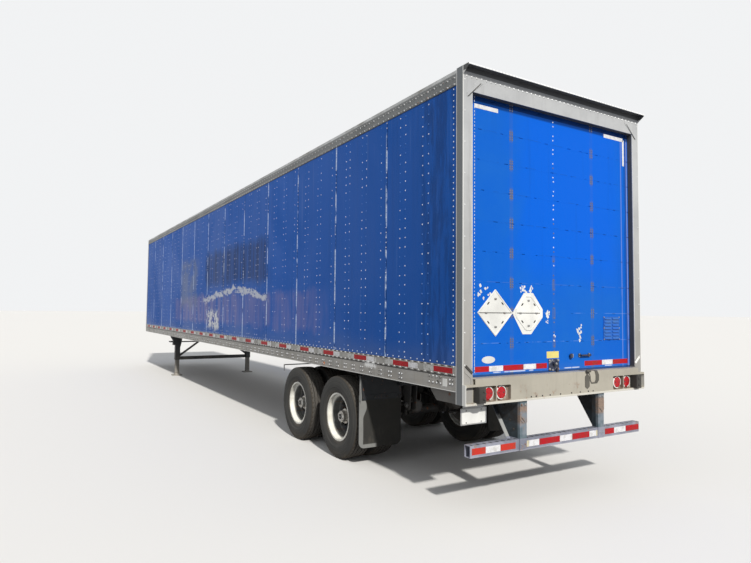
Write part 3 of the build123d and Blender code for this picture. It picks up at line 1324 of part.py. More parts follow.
def landing_legs():
    """Outer legs, each with a wing plate along the trailer and two flared gussets across."""
    half, t = LEG_OUTER / 2, LEG_WALL
    z = (LEG_OUTER_BOTTOM, LEG_OUTER_TOP)
    leg = block((-half, half), (-half, half), z) - block((t - half, half - t), (t - half, half - t), z)
    leg += block((-half, half), (-half, half), (LEG_OUTER_TOP - CRANK_SHAFT_R, LEG_OUTER_TOP))
    leg += along_y(wing_outline(WING_LENGTH / 2, WING_FOOT_Z, half + 12), (-half - WING_T, -half))
    flare = [
        (-half - FLARE_IN, CROSS_BOTTOM), (half + FLARE_OUT, CROSS_BOTTOM), (half + FLARE_OUT, CROSS_BOTTOM - WING_EDGE_H),
        (half, FLARE_FOOT_Z), (-half, FLARE_FOOT_Z), (-half - FLARE_IN, CROSS_BOTTOM - WING_EDGE_H),
    ]
    leg += along_x(flare, (-half - WING_T, -half)) + along_x(flare, (half, half + WING_T))
    return both_sides(Pos(LEG_X, LEG_Y, 0) * leg)


def landing_feet():
    """Inner legs in the outer ones, each on a dished pad with its cross pin."""
    half = LEG_OUTER / 2 - LEG_WALL - LEG_CLEAR
    leg = block((-half, half), (-half, half), (PAD_PIVOT_H, LEG_OUTER_BOTTOM + LEG_OVERLAP))
    size = PAD_SIZE / 2
    pad = block((-size, size), (-size, size), (0, 2 * PAD_T))
    pad = chamfer(pad.edges().filter_by(Axis.Z), PAD_CORNER)
    pad = chamfer(pad.faces().sort_by(Axis.Z)[-1].edges(), PAD_T)
    saddle = along_y([(-70, 2 * PAD_T), (70, 2 * PAD_T), (34, PAD_PIVOT_H), (-34, PAD_PIVOT_H)], (-half, half))
    pin_z = PAD_PIVOT_H - 1.4 * PAD_PIN_R
    pin = rod((0, -half - PAD_PIN_R, pin_z), (0, half + PAD_PIN_R, pin_z), PAD_PIN_R)
    return both_sides(Pos(LEG_X, LEG_Y, 0) * (leg + pad + saddle + pin))


def landing_braces():
    """Cross tube between the legs and a diagonal from each leg to the floor beams."""
    inner = LEG_Y - LEG_OUTER / 2
    low_z, top_z = LEG_OUTER_BOTTOM + CROSS_TUBE_H, CROSS_BOTTOM
    tube = block((LEG_X - 25, LEG_X + 25), (-inner, inner), (LEG_OUTER_BOTTOM, low_z))
    outer_top, inner_top = BRACE_TOP_Y
    outline = [(inner, low_z), (inner, low_z + 70), (outer_top, top_z), (inner_top, top_z)]
    brace = along_x(outline, (LEG_X - 25 - BRACE_T, LEG_X - 25))
    return [tube] + both_sides(brace)


def landing_crank():
    """Gearbox on the street-side leg, cross shaft and folding crank."""
    half = LEG_OUTER / 2
    outer, inner = LEG_Y + half, LEG_Y - half - WING_T
    box = block((LEG_X - GEARBOX_HALF_L, LEG_X + GEARBOX_HALF_L), (outer, outer + GEARBOX_DEPTH), GEARBOX_Z)
    box = fillet(box.edges().filter_by(Axis.Y), GEARBOX_ROUND)
    face, r, z = outer + GEARBOX_DEPTH, CRANK_SHAFT_R, CRANK_Z
    arm_y = face + 50
    arm = link([(LEG_X, z, 1.3 * r), (LEG_X + CRANK_ARM_L, z, r)], (arm_y, arm_y + r))
    shaft = rod((LEG_X, face, z), (LEG_X, arm_y, z), r)
    grip = rod((LEG_X + CRANK_ARM_L, arm_y, z), (LEG_X + CRANK_ARM_L, arm_y - 90, z), 0.9 * r)
    cross = rod((LEG_X, -inner, z), (LEG_X, inner, z), 1.15 * r)
    return [box + shaft + arm + grip, cross]


def upper_coupler():
    """Plate under the nose with the kingpin through it."""
    top, low = CROSS_BOTTOM, CROSS_BOTTOM - COUPLER_T
    rear, front = BODY_LENGTH - COUPLER_LENGTH, BODY_LENGTH - NOSE_RADIUS
    half, cut = COUPLER_HALF_W, COUPLER_CORNER
    plate = along_z([
        (rear, -half), (front - cut, -half), (front, cut - half), (front, half - cut), (front - cut, half), (rear, half),
    ], (low, top))
    x = BODY_LENGTH - KINGPIN_SETBACK
    neck_top = low - KINGPIN_COLLAR
    head_top = neck_top - KINGPIN_NECK
    bottom = head_top - KINGPIN_HEAD
    profile = [
        (0, bottom), (KINGPIN_HEAD_R, bottom), (KINGPIN_HEAD_R, head_top), (KINGPIN_R, head_top),
        (KINGPIN_R, neck_top), (KINGPIN_COLLAR_R, neck_top), (KINGPIN_COLLAR_R, low), (0, low),
    ]
    pin = revolve(Plane.XZ * make_face(Polyline(*profile, close=True)), Axis.Z, 360)
    return plate + Pos(x, 0, 0) * pin


def export(node, shapes):
    """Write one node, moved so that the origin is on the ground under the outer box."""
    pieces = shapes if isinstance(shapes, list) else [shapes]
    shift = Pos(-(BODY_LENGTH - BUMPER_PROUD) / 2, 0, 0)
    solids = [solid for piece in pieces for solid in (shift * piece).solids()]
    export_step(Compound(children=solids), f"parts/{node}.step")


# Nodes made once, with the function that draws each
SINGLE = {
    "floor_deck": floor_deck, "crossmembers": crossmembers, "roof": roof,
    "nose_posts": nose_posts, "nose_rails": nose_rails, "front_wall": front_wall,
    "front_connections": front_connections, "marker_lamps": marker_lamps,
    "rear_header": rear_header, "rear_sill": rear_sill, "tail_lamps": lamps, "dock_bumpers": dock_bumpers,
    "roll_up_door": roll_up_door, "door_hinges": door_hinges,
    "placard_holders": placard_holders, "door_fittings": door_fittings, "pull_strap": pull_strap,
    "underride_frame": underride_frame, "underride_tube": underride_tube,
    "plate_bracket": plate_bracket, "rear_skirts": rear_skirts,
    "slide_rails": slide_rails, "upper_coupler": upper_coupler,
    "landing_legs": landing_legs, "landing_feet": landing_feet,
    "landing_braces": landing_braces, "landing_crank": landing_crank,
    "bogie_frame": bogie_frame, "lock_pins": lock_pins, "leaf_springs": leaf_springs,
    "equalizers": equalizers, "radius_rods": radius_rods, "air_tank": air_tank,
}

# Nodes made once for the street side and mirrored to the kerb side
SIDED = {"bottom_rail": bottom_rail, "side_wall": side_wall, "top_rail": top_rail, "rear_post": rear_post}


def main():
    os.makedirs("parts", exist_ok=True)
    for node, make in SINGLE.items():
        export(node, make())
    for name, make in SIDED.items():
        piece = make()
        export(f"{name}_left", piece)
        export(f"{name}_right", opposite(piece))
    export("brake_chambers", at_each_axle(brake_chamber()))
    export("brake_camshafts", at_each_axle(brake_camshaft()))
    export("mud_flaps", both_sides(mud_flap()))
    export("mud_flap_hangers", both_sides(flap_hanger()))
    wheel = {"tyres": wheel_pair_tyres(), "rims": wheel_pair_rims(), "hub": [hub()]}
    for row, x in zip(("front", "rear"), AXLE_X):
        export(f"axle_{row}", axle(x))
        at = Pos(x, 0, TYRE_R)
        for part, pieces in wheel.items():
            export(f"{part}_{row}_left", [at * piece for piece in pieces])
            export(f"{part}_{row}_right", [at * opposite(piece) for piece in pieces])


main()
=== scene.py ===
import random
from math import copysign, cos, pi, radians, sin

import bpy
from mathutils import Matrix, Vector


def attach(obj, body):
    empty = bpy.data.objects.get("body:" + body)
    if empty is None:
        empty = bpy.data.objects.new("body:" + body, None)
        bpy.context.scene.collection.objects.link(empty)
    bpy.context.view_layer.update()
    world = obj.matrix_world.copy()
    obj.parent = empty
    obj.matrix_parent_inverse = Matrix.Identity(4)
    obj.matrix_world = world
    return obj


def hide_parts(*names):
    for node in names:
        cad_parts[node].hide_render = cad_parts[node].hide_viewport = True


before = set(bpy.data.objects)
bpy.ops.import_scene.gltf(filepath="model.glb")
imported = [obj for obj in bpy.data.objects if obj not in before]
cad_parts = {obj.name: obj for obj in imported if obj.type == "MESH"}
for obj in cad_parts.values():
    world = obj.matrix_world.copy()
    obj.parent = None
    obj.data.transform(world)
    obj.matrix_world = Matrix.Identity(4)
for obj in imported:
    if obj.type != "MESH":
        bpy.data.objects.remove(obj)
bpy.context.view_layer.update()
dice = random.Random(53)

# ---------------------------------------------------------------- places, in metres
# Lengthwise places are counted from the rear face of the rear posts and shifted by REAR.
REAR = -7.987
SIDES = (("left", 1.0), ("right", -1.0))
BACK, AHEAD, UP = (-1, 0, 0), (1, 0, 0), (0, 0, 1)
HALF_W = 1.2954
BODY_END = 16.064
RAIL_LOW_Y = 1.2914
RAIL_LOW_Z = 1.108
RAIL_STEP_Z = 1.250
SHEET_Y = 1.2924
LAP_Y = 1.2939
SHEET_FIRST = 0.100
SHEET_PITCH = 1.2192
SHEETS = 13
WALL_FRONT = 15.914
NOSE_X = BODY_END - 0.003
NOSE_R = 0.090
ROOF_END = REAR + BODY_END - NOSE_R
ROOF_HALF = 1.2774
HEADER_LOW = 3.880
DOOR_X = 0.062
DOOR_FACE = REAR + DOOR_X
DOOR_LOW = 1.254
PANEL_H = 0.2895
PANEL_ZS = [DOOR_LOW + PANEL_H * i for i in range(1, 10)]
HINGE_YS = (0.634, -0.552)
VENT_Y, VENT_Z = -0.862, DOOR_LOW + 0.421
SILL_X = -0.040
LAMP_Z = 1.0935
LAMP_YS = (0.845, 1.005)
PLATE_X, PLATE_Y, PLATE_Z = REAR + 0.056, 1.118, 0.889
GUARD_X = -0.012
GUARD_Z = (0.530, 0.640)
GUARD_POST_Y = 0.567
AXLES = {"front": 3.700, "rear": 2.455}
WHEELS = [f"{row}_{side}" for row in AXLES for side, _ in SIDES]
AXLE_Z = 0.510
PAIR_Y = 0.9839
DISC_Y = 0.1715
SPRING_Y = 0.505
LEG_X, LEG_Y, LEG_HALF = 12.650, 1.010, 0.0635


# ---------------------------------------------------------------- materials
class Nodes:
    """The nodes of one tree. Arguments of its calls are numbers or sockets."""

    def __init__(self, tree):
        self.tree = tree
        tree.nodes.clear()

    def node(self, kind, **settings):
        made = self.tree.nodes.new(kind)
        for key, value in settings.items():
            setattr(made, key, value)
        return made

    def put(self, socket, value):
        if isinstance(value, bpy.types.NodeSocket):
            self.tree.links.new(value, socket)
        elif isinstance(value, (tuple, list)) and socket.type == "RGBA":
            socket.default_value = (*value, 1.0)
        else:
            socket.default_value = value

    def calc(self, operation, *values):
        node = self.node("ShaderNodeMath", operation=operation)
        for i, value in enumerate(values):
            self.put(node.inputs[i], value)
        return node.outputs[0]

    def most(self, top, *values):
        for value in values:
            top = self.calc("MAXIMUM", top, value)
        return top

    def seen(self):
        """1 where the camera looks, also by a mirror or through glass."""
        rays = self.node("ShaderNodeLightPath").outputs
        return self.most(rays["Is Camera Ray"], rays["Is Glossy Ray"], rays["Is Transmission Ray"])


class Finish(Nodes):
    """One procedural material, painted in layers; `color` is what has been laid so far."""

    def __init__(self, name, rough=0.5, metallic=0.0, coat=0.0, specular=0.5):
        self.mat = bpy.data.materials.new(name)
        self.mat.use_nodes = True
        super().__init__(self.mat.node_tree)
        self.shader = self.node("ShaderNodeBsdfPrincipled")
        out = self.node("ShaderNodeOutputMaterial")
        self.put(out.inputs["Surface"], self.shader.outputs[0])
        for socket, value in (("Roughness", rough), ("Metallic", metallic), ("Coat Weight", coat),
                              ("Specular IOR Level", specular)):
            self.put(self.shader.inputs[socket], value)
        self.here = self.node("ShaderNodeTexCoord").outputs["Object"]
        parts = self.node("ShaderNodeSeparateXYZ")
        self.put(parts.inputs[0], self.here)
        self.x, self.y, self.z = parts.outputs
        self.color = None

    def join(self, x, y, z):
        node = self.node("ShaderNodeCombineXYZ")
        for i, value in enumerate((x, y, z)):
            self.put(node.inputs[i], value)
        return node.outputs[0]

    def add(self, a, b):
        return self.calc("ADD", a, b)

    def less(self, a, b):
        return self.calc("SUBTRACT", a, b)

    def size(self, a):
        return self.calc("ABSOLUTE", a)

    def times(self, *values):
        """The product; (value, low, high) among the values stands for a rise, and with a fourth, soft, for a band."""
        product, *others = [v if not isinstance(v, tuple) else self.rise(*v) if len(v) == 3 else self.band(*v)
                            for v in values]
        for value in others:
            product = self.calc("MULTIPLY", product, value)
        return product

    def rise(self, value, low, high):
        """0 below low and 1 above high, smoothly; low may be above high."""
        node = self.node("ShaderNodeMapRange", interpolation_type="SMOOTHSTEP")
        falling = low > high
        for socket, v in (("Value", value), ("From Min", min(low, high)), ("From Max", max(low, high)),
                          ("To Min", 1.0 if falling else 0.0), ("To Max", 0.0 if falling else 1.0)):
            self.put(node.inputs[socket], v)
        return node.outputs[0]

    def band(self, value, low, high, soft):
        """1 from low to high."""
        return self.times((value, low - soft, low + soft), (value, high + soft, high - soft))

    def line(self, value, place, half, soft=None):
        """1 within half of the place."""
        soft = half * 0.5 if soft is None else soft
        return self.rise(self.size(self.less(value, place)), half + soft, half)

    def lines(self, value, first, pitch, half, soft=None):
        """1 within half of each place, one pitch apart."""
        soft = half * 0.5 if soft is None else soft
        turns = self.calc("DIVIDE", self.less(value, first), pitch)
        off = self.size(self.less(turns, self.calc("ROUND", turns)))
        return self.rise(off, (half + soft) / pitch, half / pitch)

    def noise(self, scale, detail=3.0, rough=0.55, fall=1.0, stretch=None, warp=0.0, shift=0.0):
        """Noise, drawn out along z where fall is below 1, or along each axis by stretch."""
        stretch = stretch or (1.0, 1.0, fall)
        coords = self.here
        if stretch != (1.0, 1.0, 1.0) or shift:
            mapping = self.node("ShaderNodeMapping")
            self.put(mapping.inputs["Vector"], coords)
            mapping.inputs["Scale"].default_value = stretch
            mapping.inputs["Location"].default_value = (shift, shift * 0.7, -shift)
            coords = mapping.outputs[0]
        node = self.node("ShaderNodeTexNoise")
        for socket, value in (("Vector", coords), ("Scale", scale), ("Detail", detail), ("Roughness", rough),
                              ("Distortion", warp)):
            self.put(node.inputs[socket], value)
        return node.outputs["Fac"]

    def patches(self, low, high, *noise, **settings):
        return self.rise(self.noise(*noise, **settings), low, high)

    def mix(self, share, a, b):
        """A colour between a and b."""
        node = self.node("ShaderNodeMix", data_type="RGBA")
        for i, value in ((0, self.times(share)), (6, a), (7, b)):
            self.put(node.inputs[i], value)
        return node.outputs[2]

    def blend(self, share, a, b):
        """A number between a and b."""
        node = self.node("ShaderNodeMix", data_type="FLOAT")
        for i, value in ((0, self.times(share)), (2, a), (3, b)):
            self.put(node.inputs[i], value)
        return node.outputs[0]

    def lay(self, tint, *shares):
        """Lays a tint over the colour by the product of the shares."""
        self.color = self.mix(self.times(*shares), self.color, tint)

    def relief(self, height, distance, strength=1.0):
        node = self.node("ShaderNodeBump")
        for socket, value in (("Strength", strength), ("Distance", distance), ("Height", height)):
            self.put(node.inputs[socket], value)
        self.put(self.shader.inputs["Normal"], node.outputs[0])

    def done(self, rough=None, metallic=None):
        for socket, value in (("Base Color", self.color), ("Roughness", rough), ("Metallic", metallic)):
            if value is not None:
                self.put(self.shader.inputs[socket], value)
        return self.mat


def tone(color, factor):
    return tuple(min(1.0, v * factor) for v in color)


RUST_DARK = (0.10, 0.035, 0.018)
RUST_WARM = (0.30, 0.115, 0.045)
DUST = (0.36, 0.32, 0.26)
GRIME = (0.055, 0.050, 0.045)


def worn(name, base, rough=0.5, metallic=0.0, dust=0.3, rust=0.2, streak=0.25, spots=9.0, dust_color=DUST):
    """Painted or bare metal out of doors: dust in patches, run-down streaks, rust spots, fine mottle."""
    f = Finish(name, rough, metallic)
    mottle = f.noise(3.1, 5.0)
    streaks = f.noise(7.0, 4.0, fall=0.08)
    rust_field = f.noise(spots, 6.0, 0.62, shift=3.0)
    fine = f.noise(85.0, 2.0)
    f.color = f.mix((mottle, 0.35, 0.75), tone(base, 1.08), tone(base, 0.8))
    f.lay(tone(base, 0.45), (streaks, 0.5, 0.72), streak)
    dusty = f.times(f.patches(0.35, 0.75, 1.7, 5.0, shift=8.0), dust)
    f.lay(dust_color, dusty)
    edge = 0.73 - 0.17 * rust
    rusty = f.rise(rust_field, edge, edge + 0.06)
    rust_tint = f.mix((fine, 0.3, 0.7), RUST_DARK, RUST_WARM)
    f.lay(rust_tint, rusty, min(1.0, 0.6 + rust))
    f.relief(f.add(f.times(rusty, 0.6), f.times(fine, 0.35)), 0.0012)
    roughness = f.blend(rusty, f.blend(dusty, rough, 0.8), 0.88)
    return f.done(roughness, f.blend(rusty, metallic, 0.0) if metallic else None)


def side_skin(name, base, ghost):
    """Blue sheet: chalky fade, panel tones, broken laps with bare metal, painted highlights and painted shadow lines,
    run-down dirt, dulled patches.
    """
    f = Finish(name, 0.5, specular=0.12)
    back = f.less(f.x, REAR)
    place = f.calc("DIVIDE", f.less(back, SHEET_FIRST), SHEET_PITCH)
    white = f.node("ShaderNodeTexWhiteNoise", noise_dimensions="1D")
    f.put(white.inputs["W"], f.calc("FLOOR", f.add(place, 40.0)))
    f.color = f.mix(white.outputs["Value"], tone(base, 0.92), tone(base, 1.06))
    f.lay(tone(base, 0.74), (back, 6.0, 0.0), 0.45)
    f.lay(tone(base, 1.18), (f.z, 1.4, 4.0), 0.3)
    cloud = f.noise(0.55, 6.0, 0.6, warp=0.6)
    f.lay(tone(base, 0.66), (cloud, 0.42, 0.72), 0.22)
    streaks = f.noise(9.0, 5.0, 0.6, fall=0.035)
    f.lay(tone(base, 0.55), (streaks, 0.5, 0.75), 0.28)
    pale = f.noise(14.0, 3.0, 0.5, fall=0.05, shift=5.0)
    f.lay((0.16, 0.28, 0.58), (pale, 0.6, 0.74), 0.16)
    if ghost:
        ragged = f.noise(2.2, 7.0, 0.66, warp=0.5, shift=2.0)
        fray = f.times(f.less(ragged, 0.5), 0.75)
        gx, gz = f.add(back, fray), f.add(f.z, f.times(fray, 0.55))
        haze = f.times((gx, 3.0, 11.6, 0.5), (gz, 1.56, 2.12, 0.07))
        runs = f.patches(0.3, 0.62, 6.0, 5.0, 0.6, fall=0.12, shift=1.0)
        f.lay((0.185, 0.19, 0.44), haze, runs, f.blend((gx, 5.2, 8.2), 0.62, 0.92))
        patch = f.times((gx, 5.0, 8.7, 0.18), (gz, 2.34, 3.04, 0.12))
        f.lay(tone(base, 0.34), patch, f.blend((streaks, 0.4, 0.6), 0.45, 0.95))
        grey = f.times((gx, 9.5, 11.1, 0.22), (gz, 1.9, 3.02, 0.12))
        f.lay((0.19, 0.23, 0.33), grey, (ragged, 0.3, 0.55), 0.6)
        bow = f.add(2.2, f.times(f.calc("POWER", f.size(f.less(gx, 6.8)), 2.0), -0.045))
        arc = f.times(f.line(f.less(gz, bow), 0.0, 0.042, 0.03), (gx, 5.0, 8.84, 0.12))
        torn = f.patches(0.41, 0.5, 11.0, 6.0, 0.7, stretch=(0.4, 1.0, 1.0), shift=7.0)
        f.lay((0.64, 0.67, 0.74), arc, torn, 0.9)
        chips = f.times((gx, 7.7, 8.6, 0.1), (gz, 1.45, 1.82, 0.06),
                        f.patches(0.455, 0.5, 7.0, 6.0, 0.7))
        f.lay((0.84, 0.85, 0.84), chips, 0.92)
    low = f.rise(f.add(f.z, f.times(cloud, 0.35)), 1.8, 1.5)
    f.lay((0.15, 0.19, 0.28), low, 0.22)
    corner = f.times((back, 0.1, 0.64, 0.08),
                     f.patches(0.42, 0.58, 12.0, 6.0, 0.66, fall=0.14, shift=8.0))
    f.lay(tone(base, 0.42), corner, 0.6)
    sheets = f.rise(f.size(f.y), 1.29, 1.2915)
    seam = SHEET_FIRST + SHEET_PITCH
    pieces = f.noise(3.4, 2.0, 0.5, stretch=(1.7, 1.0, 1.0), shift=9.0)
    # At each lap: a broken bright line, partly bare metal and partly a painted highlight of the lit edge, and a dark
    # line that is a painted shadow of the lap.
    painted_edge_highlight = f.times(f.lines(back, seam - 0.012, SHEET_PITCH, 0.012, 0.004), (pieces, 0.47, 0.52), sheets)
    dark = f.times(f.lines(back, seam - 0.026, SHEET_PITCH, 0.004, 0.003), (pieces, 0.52, 0.46), sheets)
    f.lay(tone(base, 0.22), dark, 0.85)
    f.lay((0.6, 0.72, 0.9), painted_edge_highlight, 0.8)
    scratch = f.patches(0.7, 0.76, 30.0, 6.0, 0.7, stretch=(0.25, 1.0, 1.0), shift=4.0)
    f.lay((0.34, 0.46, 0.66), scratch, 0.4)
    dents = f.noise(1.25, 2.0, 0.4, fall=0.6)
    quilt = f.lines(back, SHEET_FIRST + 0.176, 0.4064, 0.02, 0.14)
    f.relief(f.add(dents, f.times(quilt, 0.12)), 0.02, 0.55)
    return f.done(f.blend((cloud, 0.3, 0.8), 0.45, 0.65))


def door_skin():
    """Brighter blue boards: faint dashes at the seams, rust by the hinges, dirt at the foot, a painted shadow under
    the header.
    """
    base = (0.003, 0.112, 0.56)
    f = Finish("door_blue_paint", 0.55, specular=0.1)
    cloud = f.noise(1.3, 5.0, 0.6, warp=0.4)
    f.color = f.mix((cloud, 0.35, 0.7), base, (0.008, 0.128, 0.545))
    middle = f.times((f.size(f.add(f.y, f.times(cloud, 0.5))), 1.0, 0.55), (f.z, 1.9, 2.5))
    f.lay((0.0, 0.118, 0.69), middle, 0.85)
    streaks = f.noise(11.0, 5.0, 0.6, fall=0.07)
    f.lay(tone(base, 0.6), (streaks, 0.54, 0.78), 0.18)
    part = f.calc("FRACT", f.calc("DIVIDE", f.less(f.z, DOOR_LOW), PANEL_H))
    dashes = f.times((part, 0.035, 0.01), f.patches(0.46, 0.56, 9.0, 4.0, 0.6, fall=0.2))
    f.lay(f.mix((f.z, 1.9, 2.3), (0.13, 0.26, 0.62), (0.006, 0.085, 0.4)), dashes, 0.6)
    runs = f.patches(0.4, 0.58, 26.0, 5.0, 0.65, fall=0.1, shift=6.0)
    seam = f.most(f.rise(part, 0.74, 0.88), f.rise(part, 0.26, 0.12))
    for y, share, top in zip((*HINGE_YS, 0.045), (0.8, 0.66, 0.6), (4.2, 4.2, 2.45)):
        column = f.times(f.line(f.y, y, 0.014, 0.016), (f.z, top, top - 0.1))
        f.lay((0.125, 0.135, 0.17), column, f.blend(runs, 0.45, 1.0), f.blend(seam, 0.12, 1.0), share)
    foot = f.times((f.add(f.z, f.times(cloud, 0.22)), 1.5, 1.32), 0.3)
    f.lay((0.08, 0.16, 0.33), foot)
    for y, half, share, tint in ((-1.06, 0.006, 0.55, (0.24, 0.3, 0.6)),
                                 (-1.118, 0.003, 0.85, (0.01, 0.04, 0.2)),
                                 (-1.142, 0.01, 0.7, (0.02, 0.05, 0.22)),
                                 (-1.16, 0.007, 0.6, (0.34, 0.38, 0.68))):
        stripe = f.line(f.y, y, half, 0.002)
        f.lay(tint, stripe, f.patches(0.3, 0.46, 4.0, 4.0, fall=0.5, shift=abs(y) * 9), share)
    glint = f.times(f.line(f.z, 1.272, 0.004, 0.003), f.patches(0.5, 0.56, 5.0, 3.0, fall=0.1))
    f.lay((0.62, 0.68, 0.8), glint, 0.8)
    scuff = f.patches(0.7, 0.75, 24.0, 6.0, 0.72, stretch=(1.0, 0.35, 1.0), shift=4.0)
    f.lay((0.3, 0.46, 0.72), scuff, 0.4)
    shade = f.times((f.z, 1.262, 1.254), 0.8)
    f.lay((0.02, 0.05, 0.14), shade)
    # Painted shadow of the header across the top of the door.
    painted_shade_under = f.rise(f.add(f.z, f.times(cloud, 0.01)), HEADER_LOW - 0.085, HEADER_LOW - 0.06)
    f.lay(tone(base, 0.2), painted_shade_under, 0.8)
    f.relief(f.noise(2.2, 3.0), 0.006, 0.5)
    return f.done(f.blend((cloud, 0.3, 0.8), 0.42, 0.6))


def fitting_metal():
    """Door gear: the vent painted with the door, the lock, knob and handle nearly black with bare wear."""
    f = Finish("door_gear", 0.45, 0.2, specular=0.35)
    cloud = f.noise(9.0, 6.0, 0.62)
    f.color = f.mix(cloud, (0.012, 0.018, 0.045), (0.05, 0.06, 0.095))
    bare = f.patches(0.56, 0.62, 24.0, 5.0, 0.66, shift=2.0)
    f.lay((0.42, 0.43, 0.46), bare, 0.8)
    f.lay(RUST_WARM, f.patches(0.6, 0.66, 15.0, 6.0, 0.66, shift=5.0), 0.8)
    painted = f.mix((cloud, 0.35, 0.7), (0.01, 0.12, 0.52), (0.04, 0.15, 0.44))
    f.lay(painted, (f.z, 1.49, 1.5))
    f.relief(cloud, 0.001, 0.5)
    return f.done()


def rail_metal():
    """Dull extrusion: lengthwise drawing lines, run-down dirt, dark blotches, scuffs on the low rail."""
    base = (0.36, 0.35, 0.33)
    f = Finish("rail_aluminium", 0.55, 0.15, specular=0.3)
    back = f.less(f.x, REAR)
    drawn = f.noise(60.0, 3.0, stretch=(0.02, 1.0, 1.0))
    f.color = f.mix(drawn, tone(base, 0.88), tone(base, 1.12))
    streaks = f.noise(10.0, 5.0, 0.6, fall=0.1, shift=1.0)
    f.lay((0.15, 0.15, 0.14), (streaks, 0.46, 0.72), 0.4)
    blotch = f.noise(2.6, 6.0, 0.62, stretch=(0.5, 1.0, 1.2), shift=7.0)
    f.lay((0.2, 0.195, 0.18), (blotch, 0.5, 0.7), 0.4)
    f.lay((0.155, 0.17, 0.178), (f.z, 3.9, 3.95), 0.7)
    low = f.rise(f.z, 1.3, 1.12)
    mud = f.times(low, f.patches(0.34, 0.64, 5.0, 5.0, 0.6, shift=3.0))
    f.lay(DUST, mud, 0.4)
    flank = f.rise(f.size(f.y), 1.28, 1.29)
    # Painted shade: dark lines under the top rail and under the step of the band.
    painted_shade_under = f.most(f.line(f.z, 3.95, 0.004, 0.003), f.line(f.z, RAIL_STEP_Z - 0.003, 0.004, 0.004))
    f.lay((0.03, 0.03, 0.03), painted_shade_under, flank, 0.85)
    # Painted highlight along the bottom edge of the low rail.
    painted_edge_highlight = f.times(f.line(f.z, RAIL_LOW_Z + 0.003, 0.004, 0.002), flank)
    f.lay((0.78, 0.78, 0.75), painted_edge_highlight, 0.85)
    bare = f.times((back, 1.5, 1.75, 0.03), (f.z, 1.2, 1.31, 0.02),
                   f.patches(0.42, 0.47, 8.0, 6.0, 0.7, shift=6.0))
    f.lay((0.86, 0.86, 0.84), bare, flank, 0.9)
    scuff = f.patches(0.64, 0.7, 18.0, 6.0, 0.7, stretch=(0.35, 1.0, 1.0), shift=5.0)
    f.lay((0.66, 0.66, 0.63), scuff, 0.45)
    f.relief(f.add(f.times(drawn, 0.4), blotch), 0.002, 0.6)
    return f.done(f.blend((blotch, 0.4, 0.7), 0.5, 0.72))


def frame_paint(name, base, rust):
    """Painted steel: painted highlights on the outer edges and lip, painted shade on the posts' side faces and under
    the header's visor, rust from joints and chips, dirt in runs.
    """
    f = Finish(name, 0.5, specular=0.3)
    cloud = f.noise(2.1, 6.0, 0.6, warp=0.4)
    f.color = f.mix((cloud, 0.35, 0.72), tone(base, 1.05), tone(base, 0.88))
    f.lay(f.mix((cloud, 0.35, 0.72), (0.5, 0.51, 0.515), (0.42, 0.43, 0.44)), (f.z, 1.3, 3.4))
    streaks = f.noise(16.0, 5.0, 0.62, fall=0.09)
    f.lay(tone(base, 0.55), (streaks, 0.52, 0.76), 0.28)
    back = f.less(f.x, REAR)
    spots = f.noise(13.0, 7.0, 0.66, shift=3.0)
    top = 0.72 - 0.14 * rust
    rusty = f.rise(spots, top, top + 0.05)
    low = f.rise(f.z, 1.24, 1.01)
    joint = f.times(low, f.patches(0.6 - 0.1 * rust, 0.7, 11.0, 6.0, 0.65, shift=9.0))
    rusty = f.most(rusty, f.times(joint, 0.8))
    fine = f.noise(95.0, 2.0)
    f.lay(f.mix((fine, 0.3, 0.7), RUST_DARK, RUST_WARM), rusty, 0.75)
    across = f.size(f.y)
    # Painted shade on the side faces of the posts.
    side = f.rise(across, 1.2935, 1.295)
    f.lay((0.165, 0.18, 0.19), (back, 0.008, 0.088, 0.004), side, 0.88)
    # Painted highlights along both edges of those side faces.
    edge = f.most(f.line(back, 0.0, 0.005, 0.003), f.line(back, 0.096, 0.005, 0.003))
    f.lay((0.86, 0.86, 0.83), edge, side, 0.92)
    # Painted highlight at the outer corner of the rear face.
    corner = f.times((across, 1.286, 1.291), (back, 0.004, 0.001))
    f.lay((0.84, 0.84, 0.81), corner, 0.8)
    inner = f.times((across, 1.196, 1.19), (back, 0.006, 0.064, 0.004), (f.z, 1.23, 1.26))
    f.lay((0.035, 0.037, 0.04), inner, 0.9)
    pocket = f.times((f.z, 1.018, 1.166, 0.003), (back, -0.037, -0.03),
                     (across, 0.744, 1.075, 0.004), (back, 0.006, -0.001),
                     f.patches(0.28, 0.5, 9.0, 5.0, 0.6, shift=4.0))
    f.lay((0.16, 0.085, 0.055), pocket, 0.7)
    # Painted highlight along the sill's lower lip.
    lip = f.times((f.z, 1.022, 1.014), (back, 0.0, -0.02))
    f.lay((0.8, 0.79, 0.74), lip, 0.5)
    # Painted shade on the underside of the header's visor.
    visor = f.times((back, -0.001, -0.006), (f.z, 4.055, 4.1035, 0.002))
    f.lay((0.03, 0.032, 0.036), visor, 0.92)
    # Painted highlight along the visor's outer edge.
    brim = f.times((back, -0.0785, -0.081), (f.z, 4.05, 4.06))
    f.lay((0.85, 0.86, 0.86), brim, 0.9)
    f.relief(f.add(f.times(rusty, 0.5), f.times(cloud, 0.6)), 0.003, 0.7)
    return f.done(f.blend(rusty, 0.5, 0.85))


